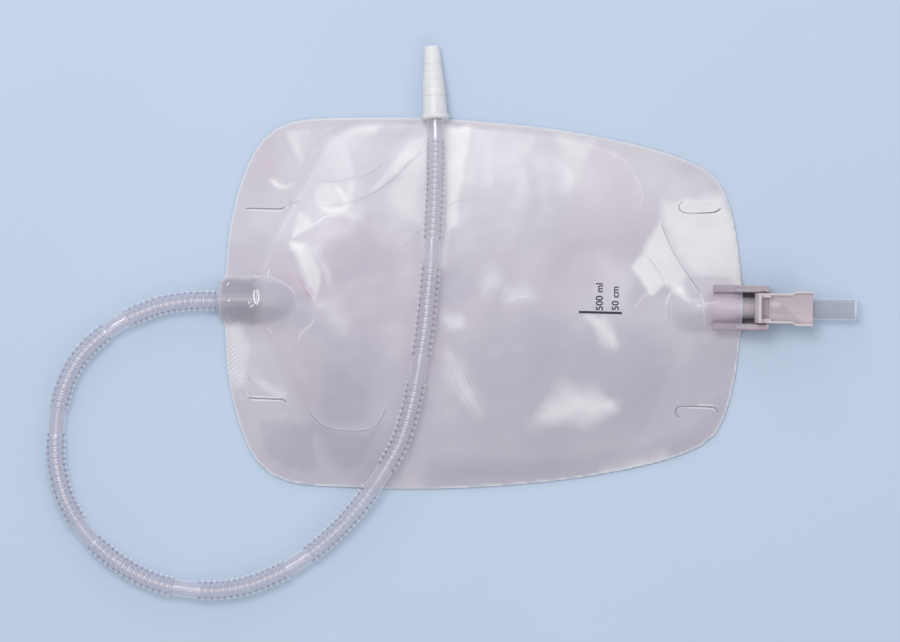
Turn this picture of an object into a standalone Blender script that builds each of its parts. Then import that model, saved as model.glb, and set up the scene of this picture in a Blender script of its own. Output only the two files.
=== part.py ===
"""A 500 ml urine leg bag, lying flat and empty, as it would on a bench.

Two plastic films are welded round their edge. A moulded port with a flutter valve lets the hose in at
one end, and a soft outlet tube leaves the other end through a lever tap. The hose is corrugated and
ends in a stepped connector, which lies across the bag.
Metres. +X runs from the inlet to the outlet, +Y across the bag, +Z up from the bench.
"""

import math

import bmesh
import bpy
from mathutils import Matrix, Vector

MM = 0.001
GAP = 0.3 * MM  # left between pieces that touch

# Films
FILM = 0.4 * MM
BAG_LENGTH = 244.5 * MM
BAG_HALF_WIDTH = 87.9 * MM
TAB_PROUD = 2.6 * MM  # small tongue of film over the port, beyond the inlet edge
TAB_HALF_WIDTH = 8.6 * MM
DOME_RISE = 3.4 * MM  # how far an empty bag stays puffed up
DOME_RUN = 30 * MM
SPINE_FROM_INLET = 47 * MM  # the plateau's middle line, from either end of the film
SPINE_FROM_OUTLET = 52 * MM
TENT_RUN = 24 * MM  # over which the film comes down behind a port or tube

# Slots for the leg straps, each cut on three sides with its flap left in
SLOT_LENGTH = 20.3 * MM
SLOT_WIDTH = 5.7 * MM
SLOT_CUT = 0.5 * MM
SLOT_FROM_SIDE = 39.9 * MM  # its middle, from the bag's widest edge
SLOT_FROM_INLET = 19.6 * MM
SLOT_FROM_OUTLET = 20.4 * MM

# Inlet port
PORT_PROUD = 3.8 * MM  # beyond the film's inlet edge
BARREL_RADIUS = 4.85 * MM
BARREL_LENGTH = 2.4 * MM
PORT_BORE_RADIUS = 2.8 * MM
SADDLE_LENGTH = 14.6 * MM
SADDLE_HALF_WIDTH = 9.45 * MM
WELD_RIB = 0.2 * MM
WELD_RIBS = 3
COLLAR_STEP = 0.85 * MM  # from the barrel down to the collar inside the bag
COLLAR_LENGTH = 3.6 * MM

# Flutter valve, a flat sleeve on the port's collar
SLEEVE_WALL = 0.3 * MM
SLEEVE_LENGTH = 37 * MM
SLEEVE_TAPER = 19 * MM  # over which it goes from round to flat
SLEEVE_SLIT = 0.5 * MM

# Outlet tube
TUBE_RADIUS = 5.05 * MM
TUBE_WALL = 1.1 * MM
TUBE_PROUD = 53.9 * MM  # beyond the film's outlet edge
TUBE_WELDED = 18.9 * MM  # length between the films

# Tap frame, a channel round the tube
FRAME_FLOOR = 0.8 * MM
FRAME_SETBACK = 1.0 * MM  # from the film's edge to the channel
RAIL_WIDTH = 3.45 * MM
RAIL_LENGTH = 26.5 * MM
RAIL_OVER_FILM = 13.9 * MM
RAIL_OVER_FILM_GAP = 0.54 * MM  # between the rails' underside and the film draped over the tube
RAIL_DEPTH = 2.7 * MM  # where the lever's grip folds down over the rails
RAIL_OVER_PIVOT = 2.3 * MM  # the rails' highest part, above the lever's pivot
RAIL_LOW_LENGTH = 9.0 * MM
RAIL_RAMP = 7.5 * MM  # along the rail, up to the height that holds the pivot
RAIL_EDGE = 0.7 * MM
RAIL_CORNER = 1.8 * MM  # outer corners at the free end, seen from above
CLIP_START = 1.2 * MM  # beyond the rails' ends
CLIP_LENGTH = 3.6 * MM
CLIP_WALL = 1.1 * MM
CLIP_ARM_ANGLE = math.radians(30)

# Tap lever, modelled open, folded out along the tube
PIVOT_FROM_EDGE = 9.5 * MM  # from the film's outlet edge
PIVOT_HEIGHT = 12.4 * MM
TRUNNION_RADIUS = 1.2 * MM
TRUNNION_LENGTH = 1.4 * MM
TRUNNION_PLAY = 0.12 * MM
LEAD_IN_WIDTH = 2.1 * MM  # shallow groove down the rail's inner face, from its top to the socket
LEAD_IN_DEPTH = 0.6 * MM
LEVER_HALF_WIDTH = 7.05 * MM
GRIP_HALF_WIDTH = 8.2 * MM
LEVER_REACH = 23.7 * MM  # from the pivot to the grip's end
GRIP_LENGTH = 8.1 * MM
GRIP_FLARE = 1.7 * MM
LEVER_DEPTH = 3.0 * MM  # from its underside, just over the tube, to its rims
LEVER_FLOOR = 1.0 * MM
LEVER_WALL = 1.0 * MM
TROUGH_RISE = 0.9 * MM
YOKE_START = 2.8 * MM  # where the tray begins, beyond the pivot
EAR_WIDTH = 2.1 * MM
WEB_THICKNESS = 0.7 * MM
BAR_BACK = 3.8 * MM  # the pinch bar, behind the pivot
BAR_FRONT = 1.0 * MM
NIPPED = 3.3 * MM  # height of the closed bar's edge above the bench
BAR_TIP_BACK = 2.3 * MM
BAR_TIP_FRONT = 0.9 * MM

# Hose and stepped connector
HOSE_RADIUS = 4.95 * MM
HOSE_STEP = 20 * MM  # about two diameters between the points of its solid
CONNECTOR_BORE_RADIUS = 2.5 * MM
FLANGE_RADIUS = 6.7 * MM
FLANGE_THICKNESS = 2.7 * MM
FLANGE_LIFT = 0.53 * MM  # above the film, so that the tilted connector clears its edge
BODY_RADIUS = 5.7 * MM
BODY_LENGTH = 7.85 * MM
GROOVE_RADIUS = 5.2 * MM
GROOVE_LENGTH = 0.9 * MM
BARB_RADII = [radius * MM for radius in (5.6, 5.45, 5.03, 4.63, 4.2)]  # the last one is the nose's base
BARB_PITCH = 3.78 * MM
BARB_NECK = 0.15 * MM  # how far each barb falls below the edge of the next
NOSE_RADIUS = 3.62 * MM
NOSE_LENGTH = 8.58 * MM
NOSE_LIFT = 0.13 * MM

# Places along the bag, from the overall length, so that the middle is at the origin
OVERALL = PORT_PROUD + BAG_LENGTH + TUBE_PROUD
INLET_EDGE = -OVERALL / 2 + PORT_PROUD
OUTLET_EDGE = INLET_EDGE + BAG_LENGTH
PORT_END = INLET_EDGE - PORT_PROUD
COLLAR_START = PORT_END + BARREL_LENGTH + SADDLE_LENGTH
COLLAR_END = COLLAR_START + COLLAR_LENGTH
TUBE_START = OUTLET_EDGE - TUBE_WELDED
TUBE_END = OUTLET_EDGE + TUBE_PROUD
PIVOT_X = OUTLET_EDGE + PIVOT_FROM_EDGE
RAIL_START = OUTLET_EDGE - RAIL_OVER_FILM
RAIL_END = RAIL_START + RAIL_LENGTH
CHANNEL_START = OUTLET_EDGE + FRAME_SETBACK
CLIP_END = RAIL_END + CLIP_START + CLIP_LENGTH

# Heights that follow from what lies on what
SEAM = FILM + GAP  # underside of the front film where it is welded
PORT_AXIS = SEAM + BARREL_RADIUS
COLLAR_RADIUS = BARREL_RADIUS - COLLAR_STEP
TUBE_AXIS = FRAME_FLOOR + GAP + TUBE_RADIUS
RAIL_INNER = LEVER_HALF_WIDTH + GAP
RAIL_HIGH = PIVOT_HEIGHT + RAIL_OVER_PIVOT
LEVER_UNDER = PIVOT_HEIGHT - (TUBE_AXIS + TUBE_RADIUS + GAP)  # the lever's underside, below its pivot
LEVER_TOP = LEVER_DEPTH - LEVER_UNDER  # its rims, above the pivot
SLOT_OFFSET = BAG_HALF_WIDTH - SLOT_FROM_SIDE  # from the bag's axis

# The hose's middle line, in millimetres: along the bench in a wide loop, then up over the bag
HOSE_ROUTE = [
    (-151.6, 0, 5.55), (-158, -0.1, 5.5), (-165, -0.4, 5.3), (-174.5, -1.9, 5.1), (-184, -4.8, 5),
    (-198, -11.6, 5), (-211.8, -23, 5), (-220.3, -35.4, 5), (-225, -50, 5), (-226.5, -64.5, 5),
    (-225.9, -79, 5), (-221, -96, 5), (-210.5, -112, 5), (-195, -125.3, 5), (-177.4, -133.8, 5),
    (-158, -137, 5), (-138.4, -135.4, 5), (-119, -127.8, 5), (-104.2, -117.9, 5), (-91.5, -106.4, 5.1),
    (-81, -94, 6.6), (-71, -79, 8.4), (-63.5, -65, 9.5), (-58.6, -48.5, 9.9), (-55.5, -31.5, 9.9),
    (-53, -14, 9.9), (-51.4, 3, 9.9), (-50.2, 19, 9.9), (-49.4, 37, 9.9), (-48.8, 54, 9.9),
    (-48.7, 68, 9.6), (-48.8, 78, 9.3), (-49.05, 86.5, 8.4),
]  # fmt: skip
CONNECTOR_BASE = Vector((-49.08 * MM, 86.9 * MM, SEAM + FILM + FLANGE_RADIUS + FLANGE_LIFT))
CONNECTOR_AIM = Vector((-51.3 * MM, 122.0 * MM, NOSE_RADIUS + NOSE_LIFT))


def srgb(red, green, blue):
    """A colour written as 0 to 255 in sRGB, as Blender's linear values."""
    linear = [
        part / 12.92 if part <= 0.04045 else ((part + 0.055) / 1.055) ** 2.4
        for part in (red / 255, green / 255, blue / 255)
    ]
    return (*linear, 1.0)


def plastic(name, colour, roughness, alpha=1.0):
    """A Principled BSDF for one piece."""
    material = bpy.data.materials.new(name)
    material.use_nodes = True
    shader = material.node_tree.nodes["Principled BSDF"]
    shader.inputs["Base Color"].default_value = colour
    shader.inputs["Roughness"].default_value = roughness
    shader.inputs["Metallic"].default_value = 0.0
    shader.inputs["Alpha"].default_value = alpha
    material.diffuse_color = (*colour[:3], alpha)
    return material


def add_object(name, bm, material=None, location=(0, 0, 0)):
    """Turns a bmesh into an object with its faces turned outwards."""
    bmesh.ops.remove_doubles(bm, verts=bm.verts, dist=1e-6)
    bmesh.ops.recalc_face_normals(bm, faces=bm.faces)
    mesh = bpy.data.meshes.new(name)
    bm.to_mesh(mesh)
    bm.free()
    if material:
        mesh.materials.append(material)
        mesh.shade_smooth()
        mesh.set_sharp_from_angle(angle=math.radians(35))
    piece = bpy.data.objects.new(name, mesh)
    piece.location = location
    bpy.context.scene.collection.objects.link(piece)
    return piece


def helper(name, bm):
    """An object that only cuts or joins, and isn't a piece itself."""
    piece = add_object(name, bm)
    piece.hide_render = True
    piece.display_type = "WIRE"
    return piece


def combine(piece, other, operation):
    modifier = piece.modifiers.new(other.name, "BOOLEAN")
    modifier.operation = operation
    modifier.object = other


def skin(bm, rings, closed_loop=False):
    """Faces between rings of as many points each. A closed loop of rings is a wall with no caps."""
    made = [[bm.verts.new(point) for point in ring] for ring in rings]
    pairs = list(zip(made, made[1:]))
    if closed_loop:
        pairs.append((made[-1], made[0]))
    for first, second in pairs:
        for i in range(len(first)):
            j = (i + 1) % len(first)
            bm.faces.new((first[i], first[j], second[j], second[i]))
    if not closed_loop:
        bm.faces.new(made[0])
        bm.faces.new(made[-1])


def prism(bm, outline, direction, start, end):
    """A flat outline moved along one axis from start to end."""
    def placed(along):
        if direction == "X":
            return [(along, a, b) for a, b in outline]
        if direction == "Y":
            return [(a, along, b) for a, b in outline]
        return [(a, b, along) for a, b in outline]

    skin(bm, [placed(start), placed(end)])


def circle(radius, count, turn=0.0):
    """Points round a circle, as (across, up), from the +Y side."""
    return [
        (radius * math.cos(turn + math.tau * i / count), radius * math.sin(turn + math.tau * i / count))
        for i in range(count)
    ]


def ring_at(x, section, up):
    return [Vector((x, across, up + height)) for across, height in section]


def smoothstep(value):
    value = min(max(value, 0.0), 1.0)
    return value * value * (3 - 2 * value)


def smooth_curve(points, counts):
    """A Catmull-Rom curve through the points, with the given number of steps on each span."""
    points = [Vector(point) for point in points]
    ends = [2 * points[0] - points[1], *points, 2 * points[-1] - points[-2]]
    curve = []
    for i, count in enumerate(counts):
        before, start, end, after = ends[i : i + 4]
        for step in range(count):
            t = step / count
            curve.append(
                0.5
                * (
                    2 * start
                    + (end - before) * t
                    + (2 * before - 5 * start + 4 * end - after) * t * t
                    + (3 * start - before - 3 * end + after) * t**3
                )
            )
    curve.append(points[-1])
    return curve


def drape(across, radius, axis, foot, seam):
    """Height of a film laid over a tube on a flat surface: round the top, then straight to its foot."""
    across = abs(across)
    if across >= foot:
        return seam
    reach = math.hypot(foot, axis - seam)
    slope = math.atan2(axis - seam, foot) + math.asin(radius / reach)
    if across > radius * math.sin(slope):
        return seam + (foot - across) * math.tan(slope)
    return axis + math.sqrt(radius * radius - across * across)


# Films


def edge_and_chamber():
    """Half of the bag's edge, and of the welded chamber inside it, from the port round to the outlet.

    The chamber draws in round the strap slots and narrows to the tube. Both hold as many points."""
    inlet, outlet, half = INLET_EDGE, OUTLET_EDGE, BAG_HALF_WIDTH
    slot = SLOT_OFFSET
    tab = TAB_HALF_WIDTH
    edge = [
        (inlet - TAB_PROUD, 0), (inlet - TAB_PROUD, tab), (inlet, tab + 4 * MM),
        (inlet + 1.4 * MM, 0.37 * half), (inlet + 7 * MM, 0.65 * half),
        (inlet + 16.5 * MM, half - 11.5 * MM), (inlet + 31 * MM, half - 2.7 * MM),
        (inlet + 57 * MM, half - 0.5 * MM), (inlet + 100 * MM, half - 0.2 * MM),
        (outlet - 92 * MM, half - 4.2 * MM), (outlet - 52 * MM, half - 11.1 * MM),
        (outlet - 27 * MM, half - 18.3 * MM), (outlet - 12 * MM, half - 27.8 * MM),
        (outlet - 4.2 * MM, 0.46 * half), (outlet - 0.6 * MM, 0.18 * half),
        (outlet, 8 * MM), (outlet, 0),
    ]  # fmt: skip
    port, slot_end = COLLAR_START + 2.6 * MM, inlet + SLOT_FROM_INLET + SLOT_LENGTH / 2
    tube, slot_start = TUBE_START, outlet - SLOT_FROM_OUTLET - SLOT_LENGTH / 2
    chamber = [
        (port, 0), (port, 0.93 * tab), (port + 1.3 * MM, tab + 4 * MM),
        (port + 7 * MM, slot - 19 * MM), (slot_end + 5.5 * MM, slot + 4 * MM),
        (slot_end + 13 * MM, slot + 18 * MM), (slot_end + 20 * MM, half - 11 * MM),
        (slot_end + 33.5 * MM, half - 4.3 * MM), (inlet + 102 * MM, half - 4 * MM),
        (outlet - 93 * MM, half - 8 * MM), (slot_start - 28.6 * MM, half - 16.4 * MM),
        (slot_start - 16.6 * MM, slot + 13 * MM), (slot_start - 10 * MM, slot + 2 * MM),
        (slot_start - 5 * MM, slot - 11 * MM), (tube - 7.3 * MM, 16 * MM),
        (tube - 1.8 * MM, 8 * MM), (tube, 0),
    ]  # fmt: skip
    steps = [5, 3, 2, 3, 3, 2, 3, 3, 3, 3, 2, 2, 3, 3, 4, 5]
    return [
        [Vector((x, y)) for x, y, _ in smooth_curve([(x, y, 0) for x, y in points], steps)]
        for points in (edge, chamber)
    ]


def valve_section(along, wall):
    """Half width, half height and middle height of the valve's sleeve: round on the port's collar, then
    pressed flat."""
    round_inner = COLLAR_RADIUS + GAP
    share = smoothstep((along - COLLAR_LENGTH) / SLEEVE_TAPER)
    wide = round_inner + share * (math.pi * round_inner / 2 - round_inner)
    tall = round_inner + share * (SLEEVE_SLIT / 2 - round_inner)
    flat_axis = SEAM + SLEEVE_WALL + SLEEVE_SLIT / 2
    return wide + wall, tall + wall, PORT_AXIS + share * (flat_axis - PORT_AXIS)


def film_over_tube(across):
    return drape(across, TUBE_RADIUS + GAP, TUBE_AXIS, TUBE_RADIUS + 7 * MM, SEAM)


def film_height(place, inside):
    """Underside of the front film at a place that lies so far inside the chamber's edge."""
    rise = DOME_RISE * (1 - (1 - min(inside / DOME_RUN, 1)) ** 2)
    over_port = drape(
        place.y, BARREL_RADIUS + WELD_RIB + GAP, PORT_AXIS, SADDLE_HALF_WIDTH + 1.5 * MM, SEAM
    )
    over_tube = film_over_tube(place.y)
    wide, tall, up = valve_section(place.x - COLLAR_START - GAP, SLEEVE_WALL + GAP)
    over_valve = SEAM
    if place.x < COLLAR_START + GAP + SLEEVE_LENGTH + GAP and abs(place.y) < wide:
        over_valve = up + tall * math.sqrt(1 - (place.y / wide) ** 2)
    port_share = smoothstep((COLLAR_END + TENT_RUN - place.x) / TENT_RUN)
    tube_share = smoothstep((place.x - TUBE_START + TENT_RUN) / TENT_RUN)
    return max(
        SEAM + rise,
        over_valve,
        SEAM + port_share * (over_port - SEAM),
        SEAM + tube_share * (over_tube - SEAM),
    )


def slot_cutter():
    """Four thin C-shaped cuts. Each leaves its flap hinged on the side away from the bag's axis."""
    bm = bmesh.new()
    radius = SLOT_WIDTH / 2
    straight = SLOT_LENGTH / 2 - radius
    angles = [math.radians(degrees) for degrees in range(150, 271, 20)]
    for centre_x in (INLET_EDGE + SLOT_FROM_INLET, OUTLET_EDGE - SLOT_FROM_OUTLET):
        for side in (1, -1):
            sides = []
            for offset in (radius + SLOT_CUT / 2, radius - SLOT_CUT / 2):
                left = [(-straight + offset * math.cos(a), offset * math.sin(a)) for a in angles]
                right = [(-x, y) for x, y in reversed(left)]
                sides.append(left + right)
            outline = [
                (centre_x + x, side * (SLOT_OFFSET + y)) for x, y in sides[0] + sides[1][::-1]
            ]
            prism(bm, outline, "Z", -MM, SEAM + FILM + MM)
    return helper("slot_cutter", bm)


def build_films(cutter):
    edge, chamber = edge_and_chamber()
    whole_edge = edge + [Vector((x, -y)) for x, y in reversed(edge[1:-1])]

    bm = bmesh.new()
    prism(bm, whole_edge, "Z", 0, FILM)
    back = add_object("back_film", bm, plastic("back_film", srgb(214, 208, 218), 0.35))
    combine(back, cutter, "DIFFERENCE")

    bm = bmesh.new()
    spine = [INLET_EDGE + SPINE_FROM_INLET, OUTLET_EDGE - SPINE_FROM_OUTLET]
    outside, inside = (0, 1 / 3, 2 / 3), (0, 0.1, 0.24, 0.41, 0.62, 0.82, 1)
    for side in (1, -1):
        columns = []
        for rim, weld in zip(edge, chamber):
            middle = Vector((min(max(weld.x, spine[0]), spine[1]), 0))
            places = [(rim.lerp(weld, share), 0) for share in outside]
            for share in inside:
                place = weld.lerp(middle, share)
                places.append((place, (place - weld).length))
            column = []
            for place, depth in places:
                height = film_height(place, depth)
                under = Vector((place.x, side * place.y, height))
                column.append((under, under + Vector((0, 0, FILM))))
            columns.append(column)
        made = [[[bm.verts.new(point) for point in pair] for pair in column] for column in columns]
        for first, second in zip(made, made[1:]):
            bm.faces.new((first[0][0], second[0][0], second[0][1], first[0][1]))
            for level in (0, 1):
                for k in range(len(first) - 1):
                    corners = (first[k], second[k], second[k + 1], first[k + 1])
                    bm.faces.new([corner[level] for corner in corners])
    bmesh.ops.remove_doubles(bm, verts=bm.verts, dist=1e-6)
    bmesh.ops.dissolve_degenerate(bm, edges=bm.edges, dist=1e-6)
    front = add_object("front_film", bm, plastic("front_film", srgb(222, 217, 226), 0.3))
    combine(front, cutter, "DIFFERENCE")


# Inlet


def saddle_section(rib, count):
    """The port's boat-shaped section: flat below, draped over the barrel above, sharp at its sides."""
    half = count // 2
    section = []
    for i in range(half):
        across = SADDLE_HALF_WIDTH * math.cos(math.pi * i / half)
        top = drape(across, BARREL_RADIUS + rib, PORT_AXIS, SADDLE_HALF_WIDTH, SEAM + 0.5 * MM)
        section.append((across, top - PORT_AXIS))
    for i in range(half):
        across = -SADDLE_HALF_WIDTH * math.cos(math.pi * i / half)
        edge_lift = 0.5 * MM if i == 0 else 0
        section.append((across, SEAM + edge_lift - PORT_AXIS))
    return section


def build_port():
    count = 24
    barrel = circle(BARREL_RADIUS, count)
    collar = circle(COLLAR_RADIUS, count)
    bore = circle(PORT_BORE_RADIUS, count)
    start, step = PORT_END + BARREL_LENGTH, SADDLE_LENGTH / (2 * WELD_RIBS + 1)
    rings = [ring_at(PORT_END, barrel, PORT_AXIS), ring_at(start, barrel, PORT_AXIS)]
    for i in range(2 * WELD_RIBS + 1):
        section = saddle_section(WELD_RIB if i % 2 else 0, count)
        inset = 0.05 * MM
        rings.append(ring_at(start + i * step + inset, section, PORT_AXIS))
        rings.append(ring_at(start + (i + 1) * step - inset, section, PORT_AXIS))
    rings.append(ring_at(COLLAR_START, collar, PORT_AXIS))
    rings.append(ring_at(COLLAR_END, collar, PORT_AXIS))
    rings.append(ring_at(COLLAR_END, bore, PORT_AXIS))
    rings.append(ring_at(PORT_END, bore, PORT_AXIS))
    bm = bmesh.new()
    skin(bm, rings, closed_loop=True)
    add_object("inlet_port", bm, plastic("inlet_port", srgb(168, 165, 182), 0.2, 0.6))


def build_valve():
    """A thin sleeve, round on the port's collar and pressed flat further in, so that it lets
    nothing back."""
    count = 24
    start = COLLAR_START + GAP
    stations = [0, COLLAR_LENGTH, *(COLLAR_LENGTH + SLEEVE_TAPER * s for s in (0.25, 0.5, 0.75, 1))]
    stations.append(SLEEVE_LENGTH)
    inner, outer = [], []
    for station in stations:
        for rings, wall in ((inner, 0), (outer, SLEEVE_WALL)):
            wide, tall, up = valve_section(station, wall)
            section = [(wide * across, tall * height) for across, height in circle(1, count)]
            rings.append(ring_at(start + station, section, up))
    bm = bmesh.new()
    skin(bm, outer + inner[::-1], closed_loop=True)
    add_object("non_return_valve", bm, plastic("non_return_valve", srgb(226, 224, 230), 0.3))


def build_hose():
    """A plain tube along the smooth curve through the route's points."""
    route = [Vector(point) * MM for point in HOSE_ROUTE]
    fine = smooth_curve(route, [24] * (len(route) - 1))
    spans = [(b - a).length for a, b in zip(fine, fine[1:])]
    steps = round(sum(spans) / HOSE_STEP)
    points, passed, i = [fine[0]], 0.0, 0
    for k in range(1, steps):
        target = sum(spans) * k / steps
        while passed + spans[i] < target:
            passed += spans[i]
            i += 1
        points.append(fine[i].lerp(fine[i + 1], (target - passed) / spans[i]))
    points.append(fine[-1])

    curve = bpy.data.curves.new("inlet_hose", "CURVE")
    curve.dimensions = "3D"
    curve.bevel_depth = HOSE_RADIUS
    curve.bevel_resolution = 4
    curve.use_fill_caps = True
    spline = curve.splines.new("POLY")
    spline.points.add(len(points) - 1)
    for spline_point, point in zip(spline.points, points):
        spline_point.co = (*point, 1.0)
    curve.materials.append(plastic("inlet_hose", srgb(200, 198, 206), 0.25, 0.6))
    bpy.context.scene.collection.objects.link(bpy.data.objects.new("inlet_hose", curve))


def connector_profile():
    """The stepped connector's outline, as (along, radius), from its flange to its nose."""
    ease = 0.4 * MM
    bead = [(0, 0.86), (0.13, 0.96), (0.36, 1), (0.64, 1), (0.87, 0.96), (1, BODY_RADIUS / FLANGE_RADIUS)]
    profile = [(FLANGE_THICKNESS * along, FLANGE_RADIUS * share) for along, share in bead]
    along = FLANGE_THICKNESS + BODY_LENGTH
    profile += [(along, BODY_RADIUS), (along, GROOVE_RADIUS)]
    along += GROOVE_LENGTH
    profile.append((along, GROOVE_RADIUS))
    for radius, following in zip(BARB_RADII, BARB_RADII[1:]):
        profile += [(along, radius), (along + BARB_PITCH, following - BARB_NECK)]
        along += BARB_PITCH
    profile += [(along, BARB_RADII[-1]), (along + NOSE_LENGTH - ease, NOSE_RADIUS)]
    profile.append((along + NOSE_LENGTH, NOSE_RADIUS - ease))
    return profile


def build_connector():
    count = 24
    profile = connector_profile()
    length = profile[-1][0]
    profile += [(length, CONNECTOR_BORE_RADIUS), (0, CONNECTOR_BORE_RADIUS)]
    bm = bmesh.new()
    rings = [[(along, y, z) for y, z in circle(radius, count)] for along, radius in profile]
    skin(bm, rings, closed_loop=True)
    piece = add_object(
        "stepped_connector", bm, plastic("stepped_connector", srgb(229, 229, 230), 0.4), CONNECTOR_BASE
    )
    heading = (CONNECTOR_AIM - CONNECTOR_BASE).normalized()
    piece.rotation_euler = heading.to_track_quat("X", "Z").to_euler()


# Outlet


def build_outlet_tube():
    """A soft tube, welded between the films, held level by the tap and drooping to the bench beyond it."""
    count = 20
    droop_start = CLIP_END + GAP
    droop = TUBE_END - 4 * MM - droop_start
    stations = [TUBE_START, *(droop_start + droop * i / 5 for i in range(6)), TUBE_END]
    outer, inner = [], []
    for x in stations:
        share = smoothstep((x - droop_start) / droop)
        up = TUBE_AXIS + share * (TUBE_RADIUS - TUBE_AXIS)
        outer.append(ring_at(x, circle(TUBE_RADIUS, count), up))
        inner.append(ring_at(x, circle(TUBE_RADIUS - TUBE_WALL, count), up))
    bm = bmesh.new()
    skin(bm, outer + inner[::-1], closed_loop=True)
    add_object("outlet_tube", bm, plastic("outlet_tube", srgb(190, 196, 214), 0.2, 0.4))


def clip_section(count):
    """A C open at the top, which grips the tube from below and stands flat on the bench."""
    inner = TUBE_RADIUS + GAP
    outer = inner + CLIP_WALL
    start, end = CLIP_ARM_ANGLE, -math.pi - CLIP_ARM_ANGLE
    angles = [start + (end - start) * i / count for i in range(count + 1)]
    section = [(inner * math.cos(a), TUBE_AXIS + inner * math.sin(a)) for a in angles]
    section += [
        (outer * math.cos(a), max(TUBE_AXIS + outer * math.sin(a), 0.0)) for a in reversed(angles)
    ]
    return section


def build_frame():
    """Floor, two rails, trunnion sockets and a clip: one moulding round the tube."""
    bm = bmesh.new()
    low_end = RAIL_START + RAIL_LOW_LENGTH
    underside = film_over_tube(RAIL_INNER) + FILM + RAIL_OVER_FILM_GAP
    low = underside + RAIL_DEPTH
    rail = [
        (RAIL_START, underside), (CHANNEL_START, underside), (CHANNEL_START, 0), (RAIL_END, 0),
        (RAIL_END, RAIL_HIGH), (low_end + RAIL_RAMP, RAIL_HIGH), (low_end, low), (RAIL_START, low),
    ]  # fmt: skip
    for side in (1, -1):
        prism(bm, rail, "Y", side * RAIL_INNER, side * (RAIL_INNER + RAIL_WIDTH))
    bmesh.ops.recalc_face_normals(bm, faces=bm.faces)
    corners = [
        e for e in bm.edges
        if all(v.co.x > RAIL_END - MM and abs(v.co.y) > RAIL_INNER + MM for v in e.verts)
        and abs(e.verts[0].co.z - e.verts[1].co.z) > MM
    ]
    bmesh.ops.bevel(bm, geom=corners, offset=RAIL_CORNER, segments=3, profile=0.5, affect="EDGES")
    rounded = [
        e for e in bm.edges
        if all(abs(v.co.y) > RAIL_INNER + RAIL_WIDTH / 2 and v.co.z > MM for v in e.verts)
        or all(v.co.z > RAIL_HIGH - MM for v in e.verts)
    ]
    bmesh.ops.bevel(bm, geom=rounded, offset=RAIL_EDGE, segments=2, profile=0.5, affect="EDGES")
    frame = add_object("tap_frame", bm, plastic("tap_frame", srgb(162, 152, 163), 0.35))

    bm = bmesh.new()
    across = RAIL_INNER + RAIL_WIDTH / 2
    corners = [(CHANNEL_START, -across), (RAIL_END - MM, -across), (RAIL_END - MM, across),
               (CHANNEL_START, across)]  # fmt: skip
    prism(bm, corners, "Z", 0, FRAME_FLOOR)
    combine(frame, helper("frame_floor", bm), "UNION")

    bm = bmesh.new()
    tongue = TUBE_RADIUS + GAP
    corners = [(RAIL_END - 2 * MM, -tongue), (CLIP_END - MM, -tongue), (CLIP_END - MM, tongue),
               (RAIL_END - 2 * MM, tongue)]  # fmt: skip
    prism(bm, corners, "Z", 0, 0.6 * FRAME_FLOOR)
    combine(frame, helper("frame_tongue", bm), "UNION")

    bm = bmesh.new()
    prism(bm, clip_section(12), "X", RAIL_END + CLIP_START, CLIP_END)
    combine(frame, helper("frame_clip", bm), "UNION")

    bm = bmesh.new()
    socket = circle(TRUNNION_RADIUS + TRUNNION_PLAY, 16, math.tau / 32)
    socket = [(PIVOT_X + a, PIVOT_HEIGHT + b) for a, b in socket]
    groove = [
        (PIVOT_X + a, b)
        for a, b in (
            (-LEAD_IN_WIDTH / 2, PIVOT_HEIGHT), (LEAD_IN_WIDTH / 2, PIVOT_HEIGHT),
            (LEAD_IN_WIDTH / 2, RAIL_HIGH + MM), (-LEAD_IN_WIDTH / 2, RAIL_HIGH + MM),
        )
    ]  # fmt: skip
    inner, outer = RAIL_INNER - MM, LEVER_HALF_WIDTH + TRUNNION_LENGTH + GAP
    grooves = bmesh.new()
    for side in (1, -1):
        prism(bm, socket, "Y", side * inner, side * outer)
        prism(grooves, groove, "Y", side * inner, side * (RAIL_INNER + LEAD_IN_DEPTH))
    combine(frame, helper("socket_cutter", bm), "DIFFERENCE")
    combine(frame, helper("groove_cutter", grooves), "DIFFERENCE")


def tray_section(half_width):
    """The lever's trough as (across, up) from the pivot: flat below, two rims, hollow between."""
    inner = half_width - LEVER_WALL
    floor = LEVER_FLOOR - LEVER_UNDER
    half = [
        (0, floor), (0.45 * inner, floor + 0.14 * TROUGH_RISE), (0.8 * inner, floor + 0.5 * TROUGH_RISE),
        (inner, floor + TROUGH_RISE), (inner, LEVER_TOP), (half_width, LEVER_TOP),
        (half_width, -LEVER_UNDER),
    ]  # fmt: skip
    return half + [(-across, up) for across, up in reversed(half[1:])]


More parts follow.
